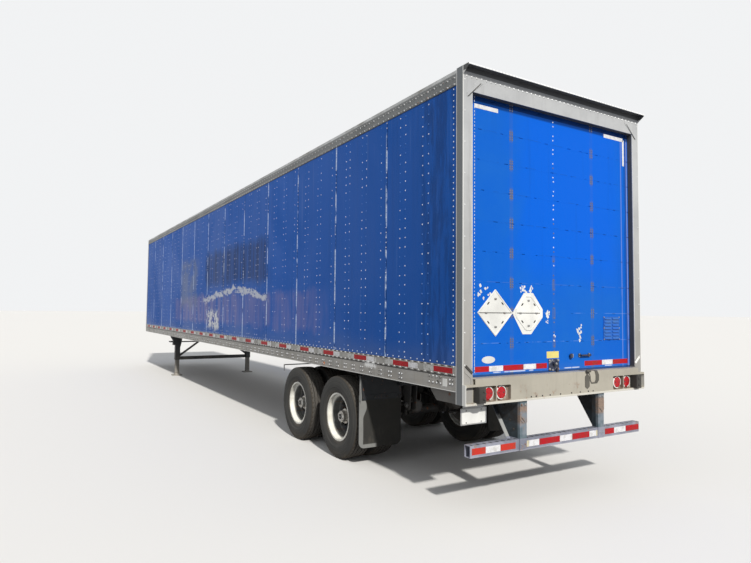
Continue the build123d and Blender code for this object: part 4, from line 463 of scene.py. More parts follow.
def roof_metal():
    """Mill-finish sheet: long stains, puddle marks, faint print of the bows."""
    base = (0.6, 0.61, 0.61)
    f = Finish("roof_aluminium", 0.4, 0.55)
    cloud = f.noise(0.7, 7.0, 0.62, warp=0.7)
    f.color = f.mix((cloud, 0.35, 0.7), tone(base, 1.05), tone(base, 0.7))
    stain = f.noise(3.0, 6.0, 0.65, stretch=(1.0, 0.35, 1.0), shift=4.0)
    f.lay((0.3, 0.28, 0.24), (stain, 0.55, 0.7), 0.5)
    bows = f.lines(f.x, REAR + 0.3, 0.6096, 0.02, 0.03)
    f.lay(tone(base, 0.6), bows, 0.25)
    gutter = f.rise(f.size(f.y), 1.16, 1.27)
    f.lay((0.17, 0.16, 0.14), gutter, (stain, 0.35, 0.65), 0.55)
    f.relief(f.add(f.times(bows, 0.35), f.noise(1.1, 3.0, 0.5)), 0.01, 0.6)
    return f.done(f.blend((cloud, 0.3, 0.7), 0.34, 0.62))


def boards():
    """Laminated hardwood floor seen from below and at its edges."""
    f = Finish("floor_boards", 0.7)
    strip = f.lines(f.y, 0.0, 0.032, 0.0012, 0.001)
    ship = f.lines(f.y, 0.0, 0.305, 0.003, 0.002)
    cell = f.node("ShaderNodeTexWhiteNoise", noise_dimensions="2D")
    row = f.calc("ROUND", f.calc("DIVIDE", f.y, 0.032))
    f.put(cell.inputs["Vector"], f.join(f.calc("FLOOR", f.add(f.times(f.x, 1.3), f.times(row, 0.37))), row,
                                        0.0))
    f.color = f.mix(cell.outputs["Value"], (0.22, 0.13, 0.07), (0.36, 0.24, 0.14))
    grain = f.noise(30.0, 5.0, stretch=(0.06, 1.0, 1.0))
    f.lay((0.15, 0.09, 0.05), grain, 0.5)
    f.lay(GRIME, f.patches(0.42, 0.66, 1.6, 6.0, 0.6), 0.6)
    f.lay((0.05, 0.03, 0.02), f.most(f.times(strip, 0.5), ship))
    f.relief(f.less(f.times(grain, 0.4), ship), 0.003, 0.8)
    return f.done()


def radial(f):
    """Distance from the wheel's axis, whichever axle the point is near."""
    middle = REAR + (AXLES["front"] + AXLES["rear"]) / 2
    front = f.calc("GREATER_THAN", f.x, middle)
    dx = f.less(f.less(f.x, REAR + AXLES["rear"]), f.times(front, AXLES["front"] - AXLES["rear"]))
    dz = f.less(f.z, AXLE_Z)
    reach = f.calc("SQRT", f.add(f.times(dx, dx), f.times(dz, dz)))
    return (dx, dz, reach, front)


def around_noise(f, scale, lengthwise, shift=0.0):
    """Noise that runs outward from the wheel's axis."""
    dx, dz, reach, front = radial(f)
    angle = f.calc("ARCTAN2", dz, dx)
    node = f.node("ShaderNodeTexNoise")
    f.put(node.inputs["Vector"], f.join(f.times(f.calc("SINE", angle), scale),
                                        f.times(f.calc("COSINE", angle), scale),
                                        f.add(f.times(reach, lengthwise), f.add(f.times(front, 7.0), shift))))
    f.put(node.inputs["Scale"], 1.0)
    f.put(node.inputs["Detail"], 5.0)
    return node.outputs["Fac"]


def tyre_rubber():
    """Worn rubber: pale scrubbed tread, dusty grooves and bead, brown bloom on the side."""
    f = Finish("tyre_rubber_dusty", 0.82, specular=0.3)
    reach = radial(f)[2]
    tread = f.rise(reach, 0.494, 0.5)
    crown = f.rise(reach, 0.5035, 0.5075)
    cloud = f.noise(6.0, 6.0, 0.62)
    side = f.mix(cloud, (0.026, 0.027, 0.027), (0.062, 0.061, 0.057))
    rings = f.rise(around_noise(f, 1.2, 60.0), 0.4, 0.66)
    side = f.mix(f.times(rings, 0.45), side, (0.09, 0.085, 0.076))
    scrub = f.mix(f.noise(40.0, 4.0, stretch=(1.0, 0.3, 1.0)), (0.062, 0.058, 0.052), (0.115, 0.105, 0.092))
    groove = f.mix(cloud, (0.03, 0.027, 0.023), (0.07, 0.058, 0.044))
    f.color = f.mix(tread, side, f.mix(crown, groove, scrub))
    bead = f.rise(reach, 0.345, 0.305)
    f.lay((0.12, 0.1, 0.078), bead, (cloud, 0.3, 0.7), 0.6)
    low = f.times((f.z, 0.16, 0.0), (cloud, 0.3, 0.6))
    f.lay((0.17, 0.14, 0.1), low, 0.55)
    f.relief(f.add(f.noise(160.0, 2.0), f.times(cloud, 0.6)), 0.001, 0.7)
    return f.done()


def wheel_paint():
    """White disc wheels: painted shade in the deep well and on the disc, rust weeping from nuts and hand holes,
    chipped flange.
    """
    f = Finish("wheel_white_paint", 0.45, specular=0.3)
    reach = radial(f)[2]
    cloud = f.noise(7.0, 6.0, 0.62)
    f.color = f.mix((cloud, 0.3, 0.75), (0.88, 0.87, 0.8), (0.74, 0.72, 0.64))
    film = f.rise(around_noise(f, 3.2, 9.0), 0.48, 0.72)
    f.lay((0.42, 0.38, 0.31), film, 0.3)
    # Painted shade: the deep well and the disc darkened, mottled by the cloud.
    deep_shade = f.blend((cloud, 0.35, 0.65), 0.86, 0.97)
    f.lay((0.105, 0.108, 0.105), (reach, 0.262, 0.25), deep_shade)
    f.lay((0.05, 0.053, 0.062), (reach, 0.244, 0.23), deep_shade)
    weep = f.rise(around_noise(f, 7.0, 14.0, 3.0), 0.48, 0.62)
    f.lay((0.2, 0.105, 0.055), (reach, 0.112, 0.184, 0.014), weep, 0.75)
    hole = f.times((reach, 0.175, 0.25, 0.012), (around_noise(f, 4.6, 18.0, 8.0), 0.57, 0.66))
    f.lay((0.17, 0.09, 0.05), hole, 0.6)
    flange = f.times((reach, 0.288, 0.293), f.patches(0.5, 0.64, 34.0, 5.0, 0.65))
    f.lay((0.2, 0.14, 0.1), flange, 0.7)
    chips = f.patches(0.7, 0.74, 52.0, 5.0, 0.7, shift=2.0)
    f.lay(RUST_DARK, chips, 0.8)
    f.relief(f.add(cloud, f.times(chips, -0.6)), 0.0015, 0.6)
    return f.done(f.blend(film, 0.42, 0.65))


def hub_metal():
    """Cast hub and drum: brown cast iron inside, silver-painted cap and flange outside."""
    f = Finish("hub_cast", 0.55, 0.45)
    out = f.rise(f.size(f.y), 0.9835, 0.987)
    cloud = f.noise(16.0, 6.0, 0.62)
    iron = f.mix((cloud, 0.3, 0.7), (0.05, 0.036, 0.03), (0.16, 0.085, 0.052))
    silver = f.mix((cloud, 0.35, 0.75), (0.62, 0.61, 0.57), (0.36, 0.32, 0.27))
    reach = radial(f)[2]
    studs = f.times((reach, 0.121, 0.166, 0.003), f.patches(0.36, 0.6, 30.0, 5.0, 0.6, shift=2.0))
    silver = f.mix(f.times(studs, 0.85), silver, (0.21, 0.105, 0.055))
    grease = f.times((reach, 0.1, 0.075), (around_noise(f, 2.4, 12.0, 5.0), 0.48, 0.66))
    silver = f.mix(f.times(grease, 0.55), silver, (0.06, 0.05, 0.045))
    f.relief(f.noise(70.0, 4.0), 0.0014, 0.7)
    f.color = f.mix(out, iron, silver)
    return f.done(f.blend(out, 0.8, 0.42))


def lens(name, base, deep):
    """Moulded lens: a prism grid under a glossy face."""
    f = Finish(name, 0.25, specular=0.25, coat=0.15)
    ring = f.times(f.add(f.calc("SINE", f.times(f.y, 900.0)), 1.0),
                   f.add(f.calc("SINE", f.times(f.z, 900.0)), 1.0), 0.25)
    f.color = f.mix(ring, deep, base)
    f.lay((0.3, 0.16, 0.14), f.patches(0.45, 0.7, 28.0, 5.0, 0.6), 0.15)
    f.relief(ring, 0.0012, 0.6)
    f.shader.inputs["Subsurface Weight"].default_value = 0.15
    f.shader.inputs["Subsurface Radius"].default_value = (0.02, 0.004, 0.002)
    return f.done()


def tape(name, base, dirt, amount):
    """Reflective tape: fine prism cells, scratches, dirt at its edges."""
    f = Finish(name, 0.45, specular=0.12)
    cells = f.node("ShaderNodeTexVoronoi", feature="DISTANCE_TO_EDGE")
    f.put(cells.inputs["Vector"], f.here)
    f.put(cells.inputs["Scale"], 240.0)
    edge = f.rise(cells.outputs["Distance"], 0.1, 0.03)
    f.color = f.mix(f.times(edge, 0.35), base, tone(base, 0.6))
    grime = f.times(f.patches(0.44, 0.66, 15.0, 6.0, 0.65, shift=1.0), amount)
    f.lay(dirt, grime)
    scratch = f.patches(0.66, 0.7, 60.0, 5.0, 0.7, stretch=(0.2, 0.2, 1.0), shift=6.0)
    f.lay((0.45, 0.42, 0.38), scratch, 0.6)
    f.relief(f.times(edge, -1.0), 0.0004, 0.6)
    return f.done(f.blend(grime, 0.42, 0.75))


def flap_rubber():
    """Black rubber sheet, a pale strip of painted sunlight along its outer edge, widening low down, dust low on its
    face.
    """
    f = Finish("flap_rubber_dust_and_painted_light", 0.78, specular=0.25)
    cloud = f.noise(4.0, 6.0, 0.62)
    f.color = f.mix(cloud, (0.022, 0.023, 0.023), (0.05, 0.047, 0.04))
    splash = f.times((f.add(f.z, f.times(cloud, 0.4)), 0.8, 0.4),
                     f.patches(0.42, 0.7, 13.0, 6.0, 0.65, fall=0.4))
    f.lay((0.14, 0.125, 0.1), splash, 0.35)
    # Painted sunlight: the lit strip along the outer edge, bounded inboard by the line of the body's shadow.
    side = f.size(f.y)
    start = f.less(f.add(1.222, f.times(cloud, 0.016)), f.times((f.z, 0.64, 0.8, 0.07), 0.045))
    outer = f.most(f.rise(f.less(side, start), 0.0, 0.01), f.times((f.z, 0.285, 0.272), (side, 1.04, 1.07)))
    f.lay(f.mix(cloud, (0.2, 0.205, 0.2), (0.33, 0.33, 0.31)), outer, 0.85)
    f.relief(f.add(f.noise(1.8, 2.0), f.times(f.noise(90.0, 2.0), 0.05)), 0.012, 0.6)
    return f.done()


def hanger_metal():
    """Dark sheet above the flap, its outer edge lighter below the body's shadow as painted sunlight."""
    f = Finish("flap_hanger_sheet", 0.6, specular=0.3)
    cloud = f.noise(5.0, 6.0, 0.62)
    f.color = f.mix(cloud, (0.01, 0.013, 0.017), (0.035, 0.037, 0.04))
    f.lay(RUST_WARM, f.patches(0.6, 0.68, 12.0, 6.0, 0.66), 0.6)
    # Painted sunlight on the outer edge below the line of the body's shadow.
    outer = f.times((f.size(f.y), 1.268, 1.274), (f.z, 1.06, 0.96))
    f.lay((0.36, 0.36, 0.34), outer, 0.85)
    f.relief(cloud, 0.003, 0.5)
    return f.done()


def guard_metal():
    """Lavender-grey tube with dark slots, posts brown above zinc, nearly black webs as painted shade, outboard strips
    lightened low down as painted sunlight.
    """
    f = Finish("guard_grey_steel", 0.6, 0.1, specular=0.3)
    back = f.less(f.x, REAR)
    cloud = f.noise(4.2, 6.0, 0.64, warp=0.5)
    f.color = f.mix((cloud, 0.34, 0.7), (0.33, 0.34, 0.41), (0.19, 0.2, 0.25))
    off = f.size(f.less(f.size(f.y), 0.567))
    post = f.times((off, 0.062, 0.056), (f.z, 0.64, 0.644))
    teal = f.mix(f.patches(0.42, 0.62, 7.0, 4.0, 0.6, shift=5.0), (0.205, 0.235, 0.27), (0.105, 0.15, 0.175))
    f.lay(teal, post)
    fine = f.noise(80.0, 3.0)
    rust = f.mix((fine, 0.3, 0.7), (0.21, 0.15, 0.115), (0.36, 0.25, 0.185))
    spots = f.noise(8.5, 7.0, 0.68, shift=2.0)
    rusty = f.rise(spots, 0.58, 0.66)
    level = f.add(f.z, f.times(cloud, 0.06))
    high = f.times(post, (level, 0.82, 0.98, 0.02), (spots, 0.34, 0.5))
    rusty = f.most(f.times(rusty, 0.8), high)
    f.lay(rust, rusty, 0.86)
    # Painted shade: the webs behind the post faces nearly black, as in the sill's shadow.
    web = f.times((back, 0.004, 0.016), (f.z, 0.64, 0.646))
    f.lay((0.012, 0.02, 0.026), web, 0.88)
    # Painted sunlight: the strips outboard of the posts lighter below the line of the sill's shadow.
    pale = f.times((off, 0.047, 0.096, 0.002), (f.z, 0.85, 0.815), (f.z, 0.64, 0.646))
    f.lay((0.42, 0.43, 0.42), pale, 0.85)
    lower = f.times((f.z, 0.545, 0.534), (f.z, 0.5, 0.52))
    f.lay((0.45, 0.45, 0.5), lower, 0.4)
    f.relief(f.add(f.times(rusty, 0.5), f.times(fine, 0.3)), 0.0016, 0.8)
    return f.done(f.blend(rusty, 0.52, 0.86))


BLUE = (0.010, 0.110, 0.480)
M = {
    "side_left": side_skin("side_blue_paint_left", BLUE, True),
    "side_right": side_skin("side_blue_paint_right", BLUE, False),
    "door": door_skin(),
    "rail": rail_metal(),
    "roof": roof_metal(),
    "post": frame_paint("rear_post_paint", (0.345, 0.335, 0.315), 0.22),
    "header": frame_paint("rear_header_paint", (0.44, 0.44, 0.425), 0.08),
    "sill": frame_paint("rear_sill_paint", (0.415, 0.388, 0.325), 0.26),
    "chassis": worn("chassis_black_paint", (0.040, 0.041, 0.043), 0.6, dust=0.35, rust=0.55),
    "gear": worn("running_gear_paint", (0.030, 0.030, 0.031), 0.62, dust=0.42, rust=0.7, spots=14.0),
    "leg": worn("landing_gear_paint", (0.045, 0.047, 0.050), 0.58, dust=0.40, rust=0.45, spots=12.0),
    "boards": boards(),
    "tyre": tyre_rubber(),
    "wheel": wheel_paint(),
    "hub": hub_metal(),
    "bumper": worn("bumper_black_rubber", (0.018, 0.018, 0.018), 0.80, dust=0.12, rust=0.0, spots=6.0),
    "lamp_red": lens("lamp_red_lens", (0.70, 0.006, 0.020), (0.34, 0.001, 0.006)),
    "lamp_amber": lens("lamp_amber_lens", (0.80, 0.26, 0.02), (0.42, 0.10, 0.006)),
    "zinc": worn("galvanised_sheet", (0.42, 0.43, 0.44), 0.45, 0.55, dust=0.35, rust=0.30),
    "placard": worn("placard_white_paint", (0.84, 0.84, 0.80), 0.40, dust=0.15, rust=0.12, streak=0.22, spots=14.0,
                    dust_color=(0.42, 0.42, 0.42)),
    "fitting": worn("zinc_fittings_worn", (0.36, 0.37, 0.38), 0.42, 0.65, dust=0.25, rust=0.65, spots=18.0),
    "guard": guard_metal(),
    "foot": worn("landing_foot_dusty", (0.30, 0.29, 0.265), 0.75, dust=0.45, rust=0.35, spots=12.0),
    "gear_door": fitting_metal(),
    "skirt": worn("skirt_grey_paint", (0.120, 0.118, 0.112), 0.6, dust=0.25, rust=0.25),
    "flap": flap_rubber(),
    "hanger": hanger_metal(),
    "webbing": worn("strap_webbing", (0.085, 0.080, 0.068), 0.85, dust=0.25, rust=0.0, spots=30.0),
    "tank": worn("tank_black_paint", (0.035, 0.035, 0.037), 0.5, dust=0.45, rust=0.4),
    "tape_red": tape("tape_red", (0.46, 0.012, 0.020), (0.20, 0.055, 0.040), 0.45),
    "tape_white": tape("tape_white", (0.80, 0.80, 0.82), (0.42, 0.40, 0.36), 0.50),
    "tape_dirty": tape("tape_white_worn", (0.58, 0.58, 0.56), (0.33, 0.32, 0.29), 0.80),
    "tape_rust": tape("tape_rusted", (0.58, 0.042, 0.028), (0.34, 0.070, 0.040), 0.55),
    "tape_yellowed": tape("tape_yellowed", (0.66, 0.60, 0.42), (0.36, 0.30, 0.21), 0.55),
    "rivet_blue": worn("rivet_blue_paint", (0.050, 0.190, 0.560), 0.40, dust=0.10, rust=0.0),
    "rivet_pale": worn("rivet_chipped_paint", (0.74, 0.80, 0.90), 0.40, dust=0.10, rust=0.0),
    "rivet_bare": worn("rivet_bare_metal", (0.66, 0.67, 0.68), 0.40, 0.25, dust=0.15, rust=0.10, spots=20.0),
    "rivet_rust": worn("rivet_rusted", (0.135, 0.125, 0.130), 0.7, dust=0.15, rust=0.28, spots=22.0),
    "bolt": worn("bolt_plated", (0.30, 0.30, 0.30), 0.45, 0.6, dust=0.25, rust=0.8, spots=26.0),
    "label": worn("label_yellow_film", (0.74, 0.62, 0.18), 0.45, dust=0.20, rust=0.0, streak=0.15),
    "sticker": worn("sticker_white_film", (0.76, 0.76, 0.74), 0.40, dust=0.20, rust=0.0, streak=0.15),
    # Dark gaps and holes; on the rails also dashes and rings of painted shadow.
    "dark": worn("dark_gap_and_painted_shadow", (0.020, 0.020, 0.021), 0.8, dust=0.15, rust=0.1),
}

DRESS = {
    "side_left": "side_wall_left",
    "side_right": "side_wall_right front_wall",
    "door": "roll_up_door",
    "rail": "bottom_rail_left bottom_rail_right top_rail_left top_rail_right nose_posts nose_rails",
    "roof": "roof",
    "post": "rear_post_left rear_post_right",
    "skirt": "rear_skirts",
    "header": "rear_header",
    "sill": "rear_sill",
    "chassis": "crossmembers slide_rails upper_coupler bogie_frame",
    "gear": "leaf_springs equalizers axle_front axle_rear radius_rods brake_camshafts",
    "leg": "landing_legs landing_braces landing_crank",
    "foot": "landing_feet",
    "boards": "floor_deck",
    "bumper": "dock_bumpers",
    "lamp_red": "tail_lamps",
    "lamp_amber": "marker_lamps",
    "zinc": "plate_bracket front_connections",
    "hanger": "mud_flap_hangers",
    "webbing": "pull_strap",
    "placard": "placard_holders",
    "fitting": "door_hinges lock_pins",
    "gear_door": "door_fittings",
    "guard": "underride_frame underride_tube",
    "flap": "mud_flaps",
    "tank": "brake_chambers air_tank",
    "wheel": " ".join(f"rims_{wheel}" for wheel in WHEELS),
    "hub": " ".join(f"hub_{wheel}" for wheel in WHEELS),
    "tyre": " ".join(f"tyres_{wheel}" for wheel in WHEELS),
}
for finish, nodes in DRESS.items():
    for name in nodes.split():
        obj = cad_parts[name]
        if not obj.material_slots:
            obj.data.materials.append(M[finish])
        for slot in obj.material_slots:
            slot.material = M[finish]


# ---------------------------------------------------------------- mesh helpers
class Build:
    """Collects vertices and faces of one piece; each face carries a material number."""

    def __init__(self):
        self.verts, self.faces, self.marks = [], [], []

    def ring(self, points):
        start = len(self.verts)
        self.verts += [tuple(p) for p in points]
        return list(range(start, len(self.verts)))

    def face(self, corners, mark=0):
        self.faces.append(corners)
        self.marks.append(mark)

    def bridge(self, a, b, mark=0, closed=True):
        """Faces between two rings."""
        count = len(a)
        for i in range(count if closed else count - 1):
            j = (i + 1) % count
            self.face([a[i], a[j], b[j], b[i]], mark)

    def loft(self, rings, mark=0, closed=True):
        """A solid skin over rings of points, with both ends closed."""
        rings = [self.ring(points) for points in rings]
        for a, b in zip(rings, rings[1:]):
            self.bridge(a, b, mark, closed)
        self.face(rings[0][::-1], mark)
        self.face(rings[-1], mark)


def axes(normal):
    """Two directions square to the normal, right-handed with it."""
    n = Vector(normal).normalized()
    side = Vector(UP) if abs(n.z) < 0.9 else Vector(AHEAD)
    u = side.cross(n).normalized()
    return u, n.cross(u), n


def around(count, turn=0.0):
    """Cosine and sine of angles evenly round a circle."""
    return [(cos(2 * pi * i / count + turn), sin(2 * pi * i / count + turn)) for i in range(count)]


def heads(build, places, normal, profile, sides=6, mark=0):
    """Turned heads on a surface; the profile gives (radius, height) from its foot to its top."""
    u, v, n = axes(normal)
    for place in places:
        p = Vector(place)
        before = None
        for radius, height in profile:
            if radius == 0:
                top = build.ring([p + n * height])[0]
                for i in range(sides):
                    build.face([before[i], before[(i + 1) % sides], top], mark)
                break
            ring = build.ring([p + u * (radius * c) + v * (radius * s) + n * height for c, s in around(sides)])
            if before:
                build.bridge(before, ring, mark)
            before = ring
        else:
            build.face(before, mark)


def plate(build, middle, normal, half, thick, round_off=0.0, turn=0.0, mark=0):
    """A thin plate with rounded corners and eased edges on a surface."""
    u, v, n = axes(normal)
    c, s = cos(turn), sin(turn)
    u, v = u * c + v * s, v * c - u * s
    a, b = half
    r = min(round_off, a * 0.99, b * 0.99)
    corners = [(a, b), (-a, b), (-a, -b), (a, -b)]
    if r > 0:
        arcs = ((a - r, b - r, 0), (r - a, b - r, 90), (r - a, r - b, 180), (a - r, r - b, 270))
        corners = [(cx + r * cos(radians(start + t)), cy + r * sin(radians(start + t)))
                   for cx, cy, start in arcs for t in (0, 30, 60, 90)]
    ease = min(thick * 0.5, 0.0015)
    low, high, top = [build.ring([Vector(middle) + u * (x * (1 - inset / a)) + v * (y * (1 - inset / b)) + n * height
                                  for x, y in corners])
                      for inset, height in ((0.0, 0.0), (0.0, thick - ease), (ease, thick))]
    build.bridge(low, high, mark)
    build.bridge(high, top, mark)
    build.face(top, mark)


def bar(build, start, end, normal, width, thick, mark=0):
    """A flat bar with eased edges between two points of a surface."""
    a, b, n = Vector(start), Vector(end), Vector(normal).normalized()
    across = n.cross((b - a).normalized()).normalized() * (width / 2)
    ease = min(thick * 0.5, 0.002)
    inner = across.normalized() * (width / 2 - ease)
    high = n * (thick - ease)
    outline = [-across, high - across, n * thick - inner, n * thick + inner, high + across, across]
    build.loft([[end + o for o in outline] for end in (a, b)], mark, closed=False)


def half_round(build, start, end, normal, radius, sides=6):
    """A half-round moulding between two points of a surface."""
    a, b, n = Vector(start), Vector(end), Vector(normal).normalized()
    across = n.cross((b - a).normalized()).normalized()
    arc = [across * (radius * cos(pi * i / sides)) + n * (radius * sin(pi * i / sides)) for i in range(sides + 1)]
    build.loft([[end + o for o in arc] for end in (a, b)], closed=False)


def tube(build, points, radius, sides):
    """A round tube through the points, mitred at each."""
    points = [Vector(p) for p in points]
    rings = []
    for before, p, after in zip(points[:1] + points, points, points[1:] + points[-1:]):
        u, v, _ = axes(after - before)
        rings.append([p + u * (radius * c) + v * (radius * s) for c, s in around(sides)])
    build.loft(rings)


def edging(build, x, corners, width, thick):
    """Bars from corner to corner round a field on a rear face."""
    for start, end in zip(corners, corners[1:] + corners[:1]):
        bar(build, (x, *start), (x, *end), BACK, width, thick)


def finish_piece(build, name, materials, body="trailer_body", smooth=None):
    """Makes the object of what was collected and rides it on its body."""
    mesh = bpy.data.meshes.new(name)
    mesh.from_pydata(build.verts, [], build.faces)
    for material in materials:
        mesh.materials.append(M[material])
    mesh.polygons.foreach_set("material_index", build.marks)
    mesh.update()
    obj = bpy.data.objects.new(name, mesh)
    bpy.context.scene.collection.objects.link(obj)
    if smooth is not None:
        for polygon in mesh.polygons:
            polygon.use_smooth = True
        with bpy.context.temp_override(object=obj, active_object=obj, selected_editable_objects=[obj]):
            bpy.ops.object.shade_smooth_by_angle(angle=radians(smooth))
    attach(obj, body)
    return obj


def spread(first, last, pitch):
    """Even places from first to last, about one pitch apart."""
    count = int(round((last - first) / pitch))
    return [first + (last - first) * i / count for i in range(count + 1)]


def twin(middle, off):
    return [middle - off, middle + off]


def grid(*spans):
    """Every combination of places along x (counted from REAR), y and z; each is a number or several."""
    xs, ys, zs = [s if isinstance(s, (list, tuple)) else [s] for s in spans]
    return [(REAR + x, y, z) for x in xs for y in ys for z in zs]


RIVET = [(0.0080, 0.0), (0.0074, 0.0014), (0.0044, 0.0027), (0, 0.0032)]
RAIL_RIVET = [(0.0085, 0.0), (0.0078, 0.0022), (0.0045, 0.0042), (0, 0.0048)]
BOLT_RIVET = [(0.0120, 0.0), (0.0110, 0.0028), (0.0070, 0.0052), (0, 0.0060)]
BIG_RIVET = [(0.0110, 0.0), (0.0100, 0.0030), (0.0060, 0.0056), (0, 0.0064)]
HEX = [(0.0150, 0.0), (0.0150, 0.0025), (0.0110, 0.0026), (0.0110, 0.0085), (0.0092, 0.0098)]
BIG_HEX = [(0.0220, 0.0), (0.0220, 0.0035), (0.0165, 0.0036), (0.0165, 0.0130), (0.0140, 0.0150)]
U_BOLT_NUT = [(0.018, 0.0), (0.018, 0.004), (0.0155, 0.005), (0.0155, 0.018), (0.013, 0.020)]
PIVOT_NUT = [(0.036, 0.0), (0.036, 0.006), (0.028, 0.008), (0.028, 0.020), (0.024, 0.023)]
# A dark ring of painted shadow round a bolt head.
BOLT_SHADOW = [(0.0165, 0.0), (0.0160, 0.0006)]
# A dark dash of painted shadow beside a rivet of the band.
SHADOW_DASH = ((0.024, 0.0055), 0.0006, 0.003)
TAPE = (0.0009, 0.003)
TALL = spread(1.42, 3.90, 0.10)
FULL = spread(1.375, 3.925, 0.055)


def tape_row(build, x, z, half_high, pieces):
    """Pieces of tape on a rear face, each from one y to the other with its material number."""
    for y0, y1, mark in pieces:
        plate(build, (x, (y0 + y1) / 2, z), BACK, (abs(y0 - y1) / 2 - 0.001, half_high), *TAPE, mark=mark)


def sheet_row(build, sign, xs, y, zs, chance):
    """Rivets of one row or column: most with the paint knocked off, the others still blue."""
    for place in grid(xs, sign * y, zs):
        heads(build, [place], (0, sign, 0), RIVET, mark=1 if dice.random() < chance else 0)


# ---------------------------------------------------------------- sides: rivets, rails and tape
for side, sign in SIDES:
    b = Build()
    for sheet in range(SHEETS):
        start = SHEET_FIRST + SHEET_PITCH * sheet
        end = min(start + SHEET_PITCH, WALL_FRONT)
        for post in (0.431, 0.530, 0.836, 0.935):
            if start + post < end - 0.06:
                sheet_row(b, sign, start + post, SHEET_Y, TALL, 0.55)
        if sheet:
            sheet_row(b, sign, start - 0.012, LAP_Y, FULL, 0.45)
            sheet_row(b, sign, start + 0.100, SHEET_Y, TALL, 0.55)
        sheet_row(b, sign, spread(start + 0.06, end - 0.06, 0.110), SHEET_Y, 1.366, 0.85)
    sheet_row(b, sign, 0.140, SHEET_Y, FULL, 0.92)
    finish_piece(b, f"sheet_rivets_{side}", ["rivet_blue", "rivet_pale"])

    # Rails: rows of rivets, groups of bolts on dark rings of painted shadow, and dark dashes of painted shadow
    # between the rivets of the band
    b = Build()
    out, band, low = (0, sign, 0), sign * HALF_W, sign * RAIL_LOW_Y
    heads(b, grid(spread(0.14, BODY_END - 0.13, 0.052), band, (3.972, 4.036)), out, RAIL_RIVET, mark=1)
    groups = [([1.006 + 0.2032 * i + dx for i in range(73) for dx in (-0.023, 0.023)], (1.192, 1.148)),
              ((0.325, 0.385, 0.445, 0.505), (1.165, 1.225)), ((0.149, 0.188), (1.175, 1.213))]
    for xs, zs in groups:
        for place in grid(xs, low, zs):
            heads(b, [place], out, BOLT_SHADOW, 8, mark=2)
            heads(b, [place], out, BOLT_RIVET, mark=0 if dice.random() < 0.75 else 1)
    for x in spread(0.13, BODY_END - 0.12, 0.110):
        for z, shadow_z in ((1.262, 1.2575), (1.336, 1.3375)):
            heads(b, grid(x, band, z), out, RAIL_RIVET)
            # A dark dash of painted shadow between the rivets.
            plate(b, (REAR + x + 0.055, band, shadow_z), out, *SHADOW_DASH, mark=2)
    plate(b, (REAR + 0.262, low, 1.180), out, (0.034, 0.036), 0.0008, 0.004, mark=3)
    heads(b, grid(0.370, low, 1.175), out, [(0.017, 0.0), (0.016, 0.0008)], 12, mark=2)
    heads(b, grid(spread(0.12, BODY_END - 0.12, 0.105), band, (3.966, 4.028)), out, RAIL_RIVET)
    finish_piece(b, f"rail_rivets_{side}", ["rivet_bare", "bolt", "dark", "placard"])

    # Reflective tape along the band of the bottom rail: a clean white piece, a red and a dirty white
    b = Build()
    reds = [0.145, 0.860, 1.710, 2.540, 3.290]
    while reds[-1] + 0.80 < BODY_END - 0.50:
        reds.append(reds[-1] + 0.80)
    for red in reds:
        for start, half, mark in ((red - 0.165, 0.080, 1), (red, 0.143, 0), (red + 0.290, 0.080, 2)):
            if start > 0.1:
                plate(b, (REAR + start + half, band, 1.297), out, (half, 0.0255), *TAPE, mark=mark)
    finish_piece(b, f"side_tape_{side}", ["tape_red", "tape_white", "tape_dirty"])

# ---------------------------------------------------------------- roof and nose
b = Build()
heads(b, grid(spread(0.12, BODY_END - 0.12, 0.075), (1.262, -1.262), 4.1075), UP, RAIL_RIVET)
finish_piece(b, "roof_rivets", ["rivet_bare"])


def roof_top(y):
    return 4.107 + 0.008 * (1 - (y / ROOF_HALF) ** 2)


# The cap follows the roof's edge: round one corner, across and round the other
turns = [pi / 2 * k / 8 for k in range(9)]
way = [(sin(a), HALF_W - NOSE_R, cos(a)) for a in turns]
way += [(1.0, y, 0.0) for y in spread(HALF_W - NOSE_R - 0.08, NOSE_R + 0.08 - HALF_W, 0.16)]
way += [(sin(a), NOSE_R - HALF_W, -cos(a)) for a in reversed(turns)]
b = Build()
rings = []
for ahead, middle, aside in way:
    lip, inner = [(ROOF_END + r * ahead, middle + r * aside) for r in (NOSE_R + 0.0015, NOSE_R - 0.0005)]
    y = max(-ROOF_HALF, min(ROOF_HALF, middle + NOSE_R * aside))
    top = roof_top(y)
    rings.append([(ROOF_END - 0.035, y, top + 0.0020), (ROOF_END + 0.002, y, top + 0.0022), (*lip, 4.0785),
                  (*lip, 4.058),
                  (*inner, 4.058), (*inner, 4.0755), (ROOF_END + 0.002, y, top - 0.001),
                  (ROOF_END - 0.035, y, top - 0.001)])
b.loft(rings)
heads(b, [(ROOF_END - 0.017, y, roof_top(y) + 0.002) for y in spread(-1.25, 1.25, 0.075)], UP, RAIL_RIVET, mark=1)
finish_piece(b, "nose_cap", ["roof", "rivet_bare"])

b = Build()
heads(b, grid(NOSE_X, (-0.95, -0.82, -0.30, -0.22, 0.22, 0.30, 0.82, 0.95), TALL), AHEAD, RIVET)
seams = [y + dy for y in (-0.5727, 0.0, 0.5727) for dy in (-0.014, 0.014)]
heads(b, grid(NOSE_X + 0.0015, seams, FULL), AHEAD, RIVET)
for ys, zs in (((1.168, -1.168), spread(1.375, 3.925, 0.075)), (spread(-1.17, 1.17, 0.10), 1.30),
               (spread(-1.17, 1.17, 0.052), (3.972, 4.036))):
    heads(b, grid(BODY_END, ys, zs), AHEAD, RAIL_RIVET)
finish_piece(b, "nose_rivets", ["rivet_bare"])

